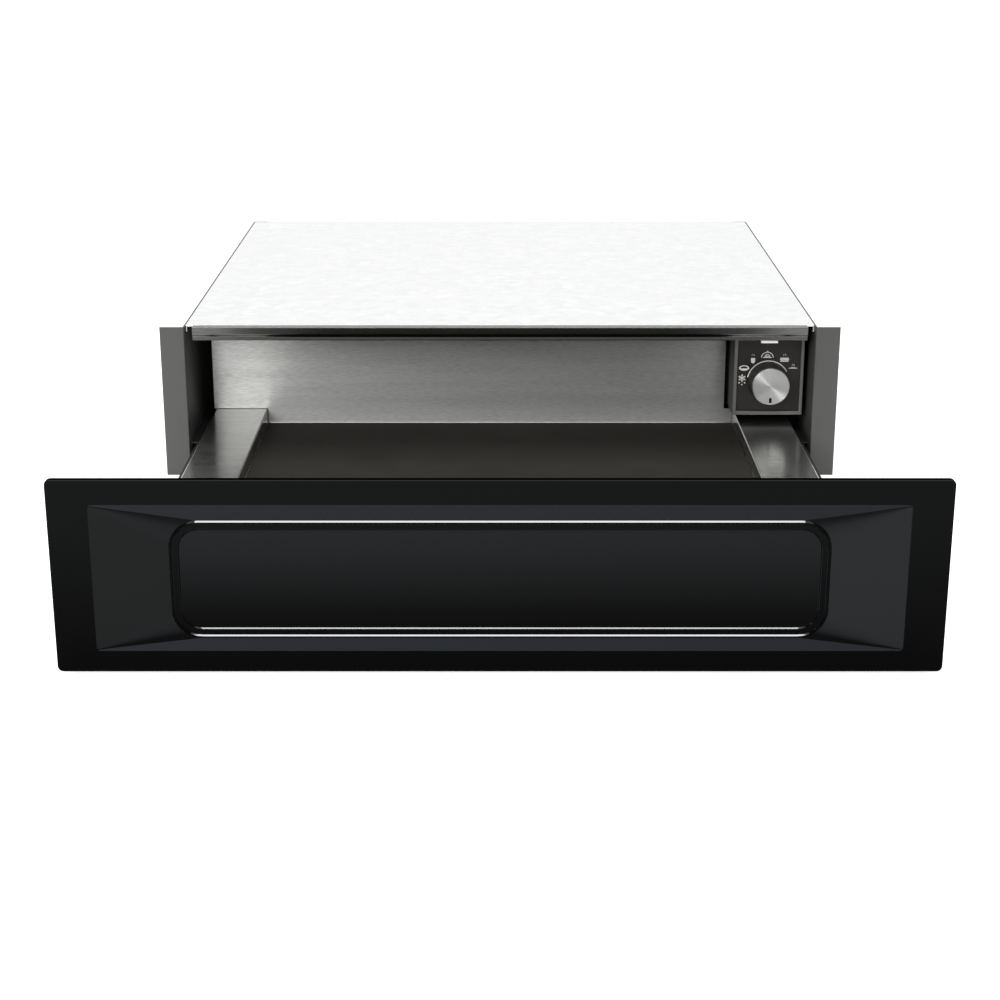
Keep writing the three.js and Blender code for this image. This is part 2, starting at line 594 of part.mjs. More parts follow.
function buildFrontPanel() {
  const outline = (inset, radius) => roundedRectangle([-WIDE + inset, WIDE - inset],
    [FRONT_LIFT + inset, PANEL_TOP - inset], radius, 3);
  const inside = PANEL_FACE + FRONT_SKIN;
  const rimBack = PANEL_FACE + RIM_DEPTH;
  const shell = join(
    frustum(outline(0, FRONT_CORNER), PANEL_FACE, outline(RIM_TAPER, FRONT_CORNER - RIM_TAPER), rimBack),
    prism(outline(BODY_INSET, FRONT_CORNER), "y", inside, PANEL_BACK));
  const hollow = join(
    prism(outline(RIM_TAPER + FRONT_SKIN, FRONT_SKIN), "y", inside, rimBack - FRONT_SKIN),
    prism(outline(BODY_INSET + FRONT_SKIN, FRONT_CORNER - FRONT_SKIN), "y", inside,
      PANEL_BACK + FRONT_SKIN));
  const cavity = cut(hollow, recess(FRONT_SKIN));
  place(drawer, "front_panel", "enamel", join(cut(shell, cavity, recess(0)), bead()));

  const inset = BODY_INSET + FRONT_SKIN + SEAM;
  const plate = block([-WIDE + inset, WIDE - inset], [PANEL_BACK - BACK_PLATE, PANEL_BACK],
    [FRONT_LIFT + inset + FRONT_CORNER / 2, PANEL_TOP - inset - FRONT_CORNER / 2]);
  const depth = 2 * BACK_PLATE;
  const bufferHoles = bufferPlaces().map(([, x, z]) =>
    turned(pin(BUFFER.radius + SEAM, -depth, depth), "y", [x, PANEL_BACK, z]));
  const screwHoles = frontScrewPlaces().map(([, x, z]) =>
    turned(pin(FRONT_SCREW.shank + SEAM, -depth, depth), "y", [x, PANEL_BACK, z], SMALL_ROUND));
  place(drawer, "panel_back_plate", "zincSheet", cut(plate, ...bufferHoles, ...screwHoles));

  const front = PANEL_FACE + BEVEL.depth + FRONT_SKIN + SEAM;
  const rear = PANEL_BACK - BACK_PLATE - SEAM;
  const middle = (FRONT_LIFT + PANEL_TOP) / 2;
  const low = middle - STIFFENER.height / 2;
  const high = middle + STIFFENER.height / 2;
  const hat = bentSheet([[rear, low], [front, low], [front, high], [rear, high]], -STIFFENER.sheet);
  place(drawer, "panel_stiffener", "zincSheet",
    prism(hat, "x", -STIFFENER.width / 2, STIFFENER.width / 2));
}

function bufferPlaces() {
  const x = WIDE - BUFFER.edge;
  const levels = [["lower", BUFFER.height], ["upper", CARCASS_HEIGHT - BUFFER.height]];
  return SIDES.flatMap(([name, side]) =>
    levels.map(([level, z]) => [`${name}_${level}_buffer`, side * x, z]));
}

function buildBuffers() {
  for (const [name, x, z] of bufferPlaces()) {
    const seat = -BACK_PLATE - SEAM;
    const profile = [[0, seat - BUFFER.capDepth], [BUFFER.cap, seat - BUFFER.capDepth], [BUFFER.cap, seat],
      [BUFFER.radius, seat], [BUFFER.radius, BUFFER.proud], [0, BUFFER.proud]];
    place(drawer, name, "rubber", turned(profile, "y", [x, PANEL_BACK, z], SMALL_ROUND));
  }
}

function frontScrewPlaces() {
  const x = TRAY_HALF - FRONT_SCREW.inset;
  return SIDES.flatMap(([name, side]) => [FRONT_SCREW.low, FRONT_SCREW.high].map((z, i) =>
    [`${name}_front_screw_${i + 1}`, side * x, z]));
}

function buildFrontBrackets() {
  const far = TRAY_HALF - TRAY_SHEET - SEAM;
  const near = FLOOR_HALF + TRAY_SHEET + SEAM;
  const plateY = [PANEL_BACK + SEAM, PANEL_BACK + SEAM + BRACKET.sheet];
  const high = LEDGE_HEIGHT - TRAY_SHEET - SEAM;
  for (const [name, side] of SIDES) {
    const plate = block([side * near, side * far], plateY, [BRACKET.bottom, high]);
    const arm = block([side * (far - BRACKET.sheet), side * far], [plateY[0], plateY[0] + BRACKET.length],
      [BRACKET.bottom, high]);
    const holes = frontScrewPlaces().map(([, x, z]) =>
      turned(pin(FRONT_SCREW.shank + SEAM, -BRACKET.sheet, 2 * BRACKET.sheet), "y",
        [x, plateY[0], z], SMALL_ROUND));
    place(drawer, `${name}_front_bracket`, "zincSheet", cut(join(plate, arm), ...holes));
  }
  for (const [name, x, z] of frontScrewPlaces()) {
    place(drawer, name, "zincSheet", screw(FRONT_SCREW, "y", [x, plateY[1] + SEAM, z], -1));
  }
}

// ---- Control box --------------------------------------------------------------------------------

function buildControlBox() {
  const outer = rectangle([BOX_LEFT, BOX_RIGHT], [BOX_BOTTOM, BOX_TOP]);
  const bezelHole = rectangle([BOX_LEFT + BEZEL.side, BOX_RIGHT - BEZEL.side],
    [BOX_BOTTOM + BEZEL.bottom, BOX_TOP - BEZEL.side]);
  place(carcass, "control_bezel", "bezel",
    prism(outer, "y", BOX_FACE, BOX_FACE + BEZEL.depth, [bezelHole.reverse()]));

  const boxBack = BOX_FACE + BOX.depth;
  const shell = prism(outer, "y", FASCIA_FACE, boxBack);
  const inside = block([BOX_LEFT + BOX.sheet, BOX_RIGHT - BOX.sheet],
    [FASCIA_FACE - BOX.sheet, boxBack - BOX.sheet], [BOX_BOTTOM + BOX.sheet, BOX_TOP - BOX.sheet]);
  const wireHole = turned(pin(LOOM.radius, -2 * BOX.sheet, 2 * BOX.sheet), "y", [LOOM_X, boxBack, LOOM_Z]);
  place(carcass, "control_box_housing", "casePaint", cut(shell, inside, wireHole));

  const edge = BOX.sheet + SEAM;
  const plate = block([BOX_LEFT + edge, BOX_RIGHT - edge], [FASCIA_FACE, FASCIA_FACE + FASCIA],
    [BOX_BOTTOM + edge, BOX_TOP - edge]);
  const through = [FASCIA_FACE - FASCIA, FASCIA_FACE + 2 * FASCIA];
  const lampX = KNOB_X;
  const window = block([lampX - LAMP.width / 2, lampX + LAMP.width / 2], through,
    [LAMP_Z - LAMP.height / 2, LAMP_Z + LAMP.height / 2]);
  const bushHole = turned(pin(BUSH.radius + SEAM, -FASCIA, 2 * FASCIA), "y", [KNOB_X, FASCIA_FACE, KNOB_Z]);
  place(carcass, "control_fascia", "fascia", cut(plate, window, bushHole));

  const behind = FASCIA_FACE + FASCIA + SEAM;
  const lensWide = LAMP.width / 2 - SEAM;
  const lensHigh = LAMP.height / 2 - SEAM;
  place(carcass, "indicator_lens", "paleLens",
    block([lampX - lensWide, lampX + lensWide], [FASCIA_FACE - LAMP.proud, behind],
      [LAMP_Z - lensHigh, LAMP_Z + lensHigh]));
  const lampTop = Math.min(LAMP_Z + LAMP.body / 2, BOX_TOP - edge);
  place(carcass, "indicator_lamp", "palePlastic",
    block([lampX - LAMP.body / 2, lampX + LAMP.body / 2], [behind + SEAM, behind + SEAM + LAMP.depth],
      [LAMP_Z - LAMP.height, lampTop]));

  const thermostatTop = Math.min(KNOB_Z + THERMOSTAT.height / 2, LAMP_Z - LAMP.height - SEAM);
  const body = block([KNOB_X - THERMOSTAT.width / 2, KNOB_X + THERMOSTAT.width / 2],
    [behind, behind + THERMOSTAT.depth], [BOX_BOTTOM + edge + BEZEL.bottom, thermostatTop]);
  const bush = turned(pin(BUSH.radius, FASCIA_FACE - BUSH.proud, behind + FASCIA), "y", [KNOB_X, 0, KNOB_Z]);
  const boreEnd = behind + SHAFT.inBody + SEAM;
  const bore = turned(pin(SHAFT.radius + SEAM, FASCIA_FACE - 2 * BUSH.proud, boreEnd), "y",
    [KNOB_X, 0, KNOB_Z]);
  place(carcass, "thermostat", "palePlastic", cut(join(body, bush), bore));
}

function buildKnob() {
  const skirtBack = FASCIA_FACE - KNOB.gap;
  const skirtFront = skirtBack - SKIRT.depth;
  const capBack = skirtFront - SEAM;
  const capFront = capBack - KNOB.depth;
  const bushRoom = BUSH.radius + 2 * SEAM;
  const shaftFront = skirtBack - SHAFT.inKnob;
  const socket = SHAFT.radius + SEAM;
  place(knobGroup, "knob_skirt", "darkPlastic",
    turned([[0, skirtFront], [SKIRT.nose, skirtFront], [SKIRT.radius, skirtBack], [bushRoom, skirtBack],
      [bushRoom, skirtBack - SKIRT.relief], [socket, skirtBack - SKIRT.relief],
      [socket, shaftFront - SEAM], [0, shaftFront - SEAM]], "y", [0, 0, 0]));
  const cap = turned([[0, capFront], [KNOB.radius - KNOB.edge, capFront], [KNOB.radius, capFront + KNOB.edge],
    [KNOB.radius, capBack], [0, capBack]], "y", [0, 0, 0]);
  const markEnd = -KNOB.radius + POINTER.inset;
  const pointer = block([-POINTER.width / 2, POINTER.width / 2],
    [capFront - POINTER.depth, capFront + POINTER.depth], [markEnd, markEnd + POINTER.length]);
  place(knobGroup, "knob_cap", "knobMetal", cut(cap, pointer));
  const shaftBack = FASCIA_FACE + FASCIA + SEAM + SHAFT.inBody;
  place(knobGroup, "knob_shaft", "zincSheet",
    turned(pin(SHAFT.radius, shaftFront, shaftBack), "y", [0, 0, 0]));
}

// ---- Heating ------------------------------------------------------------------------------------

const ELEMENT_FRONT = FRONT_Y + ELEMENT.front;
const ELEMENT_REAR = BACK_Y - ELEMENT.rear;
const ELEMENT_LEFT = ELEMENT_RIGHT - (ELEMENT.runs - 1) * ELEMENT.pitch;

function elementRoute() {
  const z = ELEMENT.height;
  const tailY = BACK_Y - ELEMENT_TAIL.back;
  const crossY = BACK_Y - ELEMENT_CROSS;
  const point = (x, y, height = z) => new THREE.Vector3(x, y, height);
  const corners = [point(ELEMENT_RIGHT, tailY, TAIL_TOP), point(ELEMENT_RIGHT, tailY)];
  for (let run = 0; run < ELEMENT.runs; run += 1) {
    const x = ELEMENT_RIGHT - run * ELEMENT.pitch;
    const forward = run % 2 === 0;
    if (run > 0) corners.push(point(x, forward ? ELEMENT_REAR : ELEMENT_FRONT));
    if (run < ELEMENT.runs - 1) corners.push(point(x, forward ? ELEMENT_FRONT : ELEMENT_REAR));
  }
  const secondTail = ELEMENT_RIGHT - ELEMENT_TAIL.spacing;
  corners.push(point(ELEMENT_LEFT, crossY), point(secondTail, crossY), point(secondTail, tailY),
    point(secondTail, tailY, TAIL_TOP));
  return routed(corners, ELEMENT.bend, 4);
}

function buildHeating() {
  place(carcass, "heating_element", "element", tube(elementRoute(), ELEMENT.radius, 8));

  const left = ELEMENT_LEFT - REFLECTOR.margin;
  const right = ELEMENT_RIGHT + REFLECTOR.margin;
  const bottom = CASE_SHEET + SEAM;
  const pan = bentSheet([[right, bottom + REFLECTOR.lip], [right, bottom], [left, bottom],
    [left, bottom + REFLECTOR.lip]], -REFLECTOR.sheet);
  place(carcass, "heat_reflector", "reflector",
    prism(pan, "y", ELEMENT_FRONT - REFLECTOR.margin, BACK_Y - ELEMENT_CROSS + REFLECTOR.margin));

  const seat = REFLECTOR_TOP + SEAM;
  const top = ELEMENT.height - ELEMENT.radius - SEAM;
  const middle = (ELEMENT_FRONT + ELEMENT_REAR) / 2;
  [["front", -1], ["rear", 1]].forEach(([name, side]) => {
    const y = middle + side * SUPPORT.offset;
    const section = bentSheet([[y, top], [y, seat], [y + SUPPORT.foot, seat]], SUPPORT.sheet);
    place(carcass, `${name}_element_support`, "zincSheet",
      prism(section, "x", ELEMENT_LEFT - ELEMENT.radius, ELEMENT_RIGHT + ELEMENT.radius));
  });

  const cutoutX = ELEMENT_RIGHT - (CUTOUT.gap - 0.5) * ELEMENT.pitch;
  place(carcass, "thermal_cutout", "darkPlastic",
    turned([[0, 0], [CUTOUT.radius, 0], [CUTOUT.radius, CUTOUT.rim], [CUTOUT.cap, CUTOUT.height],
      [0, CUTOUT.height]], "z", [cutoutX, middle, seat]));
}

// ---- Connections --------------------------------------------------------------------------------

const LOOM_X = CASE_HALF - LOOM.edge;
const LOOM_Z = CARCASS_HEIGHT - LOOM.drop;

function buildConnections() {
  const rear = REAR_PANEL_FRONT - SEAM;
  const half = TERMINALS.width / 2;
  const base = block([COVER_X - half, COVER_X + half], [rear - TERMINALS.depth, rear],
    [BLOCK_BOTTOM, BLOCK_TOP]);
  const grooves = Array.from({ length: TERMINALS.poles - 1 }, (_, i) => {
    const x = COVER_X - half + ((i + 1) * TERMINALS.width) / TERMINALS.poles;
    return block([x - TERMINALS.groove / 2, x + TERMINALS.groove / 2],
      [rear - 2 * TERMINALS.depth, rear - TERMINALS.depth + TERMINALS.grooveDepth],
      [BLOCK_BOTTOM - SEAM, BLOCK_TOP + SEAM]);
  });
  place(carcass, "terminal_block", "palePlastic", cut(base, ...grooves));

  const coverLeft = COVER_X - COVER.width / 2;
  const coverFront = rear - COVER.depth;
  const plan = bentSheet([[coverLeft, rear], [coverLeft, coverFront], [COVER_RIGHT, coverFront],
    [COVER_RIGHT, rear]], COVER.sheet);
  place(carcass, "terminal_cover", "darkPlastic",
    prism(plan, "z", BLOCK_BOTTOM - COVER.below, CARCASS_HEIGHT - COVER.drop));

  const flangeFront = REAR_PANEL_BACK + SEAM;
  const flangeBack = flangeFront + GLAND_HEAD.flangeDepth;
  const end = flangeBack + GLAND_HEAD.noseDepth;
  const start = REAR_PANEL_FRONT - GLAND.inside;
  place(carcass, "cable_gland", "darkPlastic", turned([[GLAND.bore, start], [GLAND.radius, start],
    [GLAND.radius, flangeFront], [GLAND_HEAD.flange, flangeFront], [GLAND_HEAD.flange, flangeBack],
    [GLAND_HEAD.nose, flangeBack], [GLAND_HEAD.noseTip, end], [GLAND.bore, end], [GLAND.bore, start]],
  "y", [COVER_X, 0, GLAND_Z]));
  const nut = circle(COVER_X, GLAND_Z, GLAND_NUT.radius, GLAND_NUT.sides);
  const nutBore = circle(COVER_X, GLAND_Z, GLAND.radius + SEAM, ROUND).reverse();
  place(carcass, "gland_nut", "darkPlastic", prism(nut, "y", rear - GLAND_NUT.depth, rear, [nutBore]));

  const loomStart = new THREE.Vector3(LOOM_X, BOX_FACE + BOX.depth + SEAM, LOOM_Z);
  const loomY = rear - TERMINALS.depth / 2;
  const loom = [loomStart, new THREE.Vector3(LOOM_X, loomY, LOOM_Z),
    new THREE.Vector3(LOOM_X, loomY, BLOCK_TOP + SEAM)];
  place(carcass, "wiring_loom", "loom", tube(routed(loom, LOOM.bend, 5), LOOM.radius, 8));
}

// ---- Push latch ---------------------------------------------------------------------------------

function latchScrewPlaces() {
  return [[LATCH.x - LATCH_SCREW.offset, LATCH.height + LATCH_SCREW.offset],
    [LATCH.x + LATCH_SCREW.offset, LATCH.height - LATCH_SCREW.offset]];
}

function buildLatch() {
  const half = LATCH.size / 2;
  const rear = REAR_PANEL_FRONT - SEAM;
  const front = rear - LATCH.depth;
  const body = block([LATCH.x - half, LATCH.x + half], [front, rear],
    [LATCH.height - half, LATCH.height + half]);
  const bore = turned(pin(LATCH.bore + SEAM, front - SEAM, front + LATCH.boreDepth), "y",
    [LATCH.x, 0, LATCH.height]);
  const screwHole = pin(LATCH_SCREW.shank + SEAM, rear - LATCH_SCREW.length, rear + SEAM);
  const screwHoles = latchScrewPlaces().map(([x, z]) => turned(screwHole, "y", [x, 0, z], SMALL_ROUND));
  place(carcass, "latch_body", "darkPlastic", cut(body, bore, ...screwHoles));

  const tip = front - PLUNGER.proud;
  const nose = [[0, tip], [LATCH.bore - PLUNGER.edge, tip], [LATCH.bore, tip + PLUNGER.edge]];
  const tail = [[LATCH.bore, tip + PLUNGER.length], [0, tip + PLUNGER.length]];
  place(carcass, "latch_plunger", "palePlastic",
    turned([...nose, ...tail], "y", [LATCH.x, 0, LATCH.height]));

  latchScrewPlaces().forEach(([x, z], i) => {
    place(carcass, `latch_screw_${i + 1}`, "zincSheet",
      screw(LATCH_SCREW, "y", [x, REAR_PANEL_BACK + SEAM, z], -1));
  });

  const behindWall = TRAY_REAR + TRAY_SHEET + SEAM;
  const reach = STRIKER.size / 2;
  place(drawer, "latch_striker", "zincSheet", block([LATCH.x - reach, LATCH.x + reach],
    [behindWall, behindWall + STRIKER.sheet], [LATCH.height - reach, LATCH.height + reach]));
}

buildSidePanels();
buildBaseAndTop();
buildRearPanel();
buildTopRail();
buildRunners();
buildRunnerScrews();
buildTray();
buildTrayRearWall();
buildFrontPanel();
buildBuffers();
buildFrontBrackets();
buildControlBox();
buildKnob();
buildHeating();
buildConnections();
buildLatch();

export default warmingDrawer;
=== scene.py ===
"""The looks of a built-in warming drawer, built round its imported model.

Lengths inside the classes are millimetres in the model's frame: +X right, +Y into the cabinet, +Z up.
A finished piece is in metres and its object sits at the origin.
"""

import logging
import math
from collections.abc import Iterable, Mapping, Sequence
from dataclasses import dataclass, field
from enum import Enum

import bmesh
import bpy
from mathutils import Matrix, Vector


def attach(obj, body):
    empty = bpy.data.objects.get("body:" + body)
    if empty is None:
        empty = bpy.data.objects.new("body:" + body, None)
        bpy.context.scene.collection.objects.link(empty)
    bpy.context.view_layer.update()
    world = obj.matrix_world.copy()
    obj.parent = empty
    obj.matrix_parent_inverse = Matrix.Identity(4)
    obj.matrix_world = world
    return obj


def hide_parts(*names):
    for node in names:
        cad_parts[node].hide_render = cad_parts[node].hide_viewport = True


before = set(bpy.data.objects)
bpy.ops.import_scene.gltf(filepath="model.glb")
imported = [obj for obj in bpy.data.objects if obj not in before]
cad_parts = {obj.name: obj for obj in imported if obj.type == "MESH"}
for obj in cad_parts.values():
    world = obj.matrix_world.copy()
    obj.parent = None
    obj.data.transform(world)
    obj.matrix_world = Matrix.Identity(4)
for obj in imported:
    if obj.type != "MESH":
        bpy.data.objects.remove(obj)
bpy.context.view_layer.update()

MM = 0.001
# Faces that turn less than the first angle are shaded as one. Edges that turn more than the
# second are rounded, and ones below the third are taken off a node's flat faces.
SMOOTH_ANGLE = math.radians(38)
SHARP_ANGLE = math.radians(40)
FLAT_ANGLE = math.radians(0.5)
# Vertices nearer than this, in millimetres, are one: new ones, a node's, and those on an axis.
WELD = 1e-4
NODE_WELD = 1e-3
ON_AXIS = 1e-3
CORNER_STEPS = 8
BEND_STEPS = 4
FLATS_WEIGHT = 80
GLOSSIEST = 0.02
WHITE = (1.0, 1.0, 1.0, 1.0)
NOISE = "ShaderNodeTexNoise"
CELLS = "ShaderNodeTexVoronoi"
GRAIN_MAP = "grain"
Span = tuple[float, float]
Place = tuple[float, float, float]
log = logging.getLogger("warming_drawer")


class Body(Enum):
    """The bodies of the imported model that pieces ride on."""

    CARCASS = "carcass"
    DRAWER = "drawer"
    LEFT_RUNNER = "left_middle_runner"
    RIGHT_RUNNER = "right_middle_runner"
    KNOB = "knob"
    PLUNGER = "plunger"


class Side(Enum):
    """The drawer's two sides, seen from the front."""

    LEFT = -1
    RIGHT = 1

    @property
    def word(self) -> str:
        """The side's name, as it starts a node's name."""
        return self.name.lower()


class Axis(Enum):
    """A direction of the frame."""

    X = 0
    Y = 1
    Z = 2

    @property
    def vector(self) -> Vector:
        """The unit vector along the axis."""
        return Vector([1.0 if i == self.value else 0.0 for i in range(3)])


# ---- Materials ----------------------------------------------------------------------------------


def linear(colour: str) -> tuple[float, float, float, float]:
    """Turns an sRGB colour into the linear one that shaders use.

    Args:
        colour: a hex colour such as "#8a8a88".

    Returns:
        The linear red, green and blue with an alpha of 1.
    """
    parts = [int(colour[i : i + 2], 16) / 255 for i in (1, 3, 5)]
    r, g, b = (c / 12.92 if c <= 0.04045 else ((c + 0.055) / 1.055) ** 2.4 for c in parts)
    return (r, g, b, 1.0)


def add_node(
    tree: bpy.types.NodeTree,
    kind: str,
    inputs: Mapping[str | int, object] | None = None,
    **settings: object,
) -> bpy.types.Node:
    """Adds one node with its settings, and links or sets its inputs.

    Args:
        tree: the node tree that gets the node.
        kind: the node's type name.
        inputs: for each input's name or number, an output socket to link or a value to set.
        settings: the node's own properties.

    Returns:
        The new node.
    """
    node = tree.nodes.new(kind)
    for name, value in settings.items():
        setattr(node, name, value)
    for key, value in (inputs or {}).items():
        if isinstance(value, bpy.types.NodeSocket):
            tree.links.new(value, node.inputs[key])
        else:
            node.inputs[key].default_value = value
    return node


@dataclass
class Surface:
    """One material while its pattern is laid: its nodes, and the finish's own colour and gloss."""

    tree: bpy.types.NodeTree
    shader: bpy.types.Node
    colour: str
    roughness: float

    def texture(
        self,
        kind: str,
        period: Place,
        inputs: Mapping[str, float] | None = None,
        **settings: object,
    ) -> bpy.types.Node:
        """Adds a texture whose pattern has a real size on each axis.

        Args:
            kind: the texture node's type name.
            period: the pattern's size along X, Y and Z, in millimetres.
            inputs: the texture's own values.
            settings: the node's own properties.

        Returns:
            The texture's node.
        """
        place = add_node(self.tree, "ShaderNodeTexCoord")
        scale = tuple(1 / (length * MM) for length in period)
        grid = add_node(
            self.tree, "ShaderNodeMapping", {"Vector": place.outputs["Object"], "Scale": scale}
        )
        values = {"Vector": grid.outputs[0], "Scale": 1.0, **(inputs or {})}
        return add_node(self.tree, kind, values, **settings)

    def tint(self, factor: bpy.types.NodeSocket, other: str, share: float = 1.0) -> None:
        """Lets the colour wander from the finish's own towards another one.

        Args:
            factor: 0 where the own colour shows, 1 where the other does.
            other: the other colour, in hex.
            share: how far towards the other colour it goes at most.
        """
        own = Vector(linear(self.colour))
        far = own.lerp(Vector(linear(other)), share)
        mix = add_node(self.tree, "ShaderNodeMix", {0: factor, 6: own, 7: far}, data_type="RGBA")
        self.tree.links.new(mix.outputs[2], self.shader.inputs["Base Color"])

    def relief(self, height: bpy.types.NodeSocket, depth: float, strength: float) -> None:
        """Presses a height pattern into the surface.

        Args:
            height: the pattern, from 0 to 1.
            depth: the real depth of the pattern in millimetres.
            strength: how much of it shows.
        """
        values = {"Height": height, "Distance": depth * MM, "Strength": strength}
        bump = add_node(self.tree, "ShaderNodeBump", values)
        self.tree.links.new(bump.outputs[0], self.shader.inputs["Normal"])

    def gloss(self, factor: bpy.types.NodeSocket, spread: float) -> None:
        """Lets the roughness wander round the finish's own.

        Args:
            factor: the pattern, from 0 to 1.
            spread: how far the roughness goes to either side.
        """
        least = max(self.roughness - spread, GLOSSIEST)
        most = min(self.roughness + spread, 1.0)
        values = {"Value": factor, "To Min": least, "To Max": most}
        span = add_node(self.tree, "ShaderNodeMapRange", values)
        self.tree.links.new(span.outputs[0], self.shader.inputs["Roughness"])

    def comb(self, strength: float) -> None:
        """Stretches the highlights across the grain that the mesh's UV map gives.

        Args:
            strength: how far they are stretched, from 0 to 1.
        """
        self.shader.inputs["Anisotropic"].default_value = strength
        tangent = add_node(self.tree, "ShaderNodeTangent", direction_type="UV_MAP", uv_map=GRAIN_MAP)
        self.tree.links.new(tangent.outputs[0], self.shader.inputs["Tangent"])


@dataclass(frozen=True)
class Finish:
    """A surface: what it is made of, its colour, its gloss and the record's slot for it."""

    name: str
    colour: str
    roughness: float
    metallic: float = 0.0
    specular: float = 0.5
    slot: str = ""

    def material(self) -> bpy.types.Material:
        """Makes the material once and gives the same one again after that.

        Returns:
            The material with its nodes.
        """
        found = bpy.data.materials.get(self.name)
        if found is not None:
            return found
        made = bpy.data.materials.new(self.name)
        made.use_nodes = True
        made.diffuse_color = linear(self.colour)
        tree = made.node_tree
        tree.nodes.clear()
        values = {
            "Base Color": linear(self.colour),
            "Roughness": self.roughness,
            "Metallic": self.metallic,
            "Specular IOR Level": self.specular,
        }
        shader = add_node(tree, "ShaderNodeBsdfPrincipled", values)
        self.detail(Surface(tree, shader, self.colour, self.roughness))
        add_node(tree, "ShaderNodeOutputMaterial", {"Surface": shader.outputs[0]})
        return made

    def detail(self, surface: Surface) -> None:
        """Adds the finish's own pattern.

        Args:
            surface: the material's surface.
        """
        raise NotImplementedError


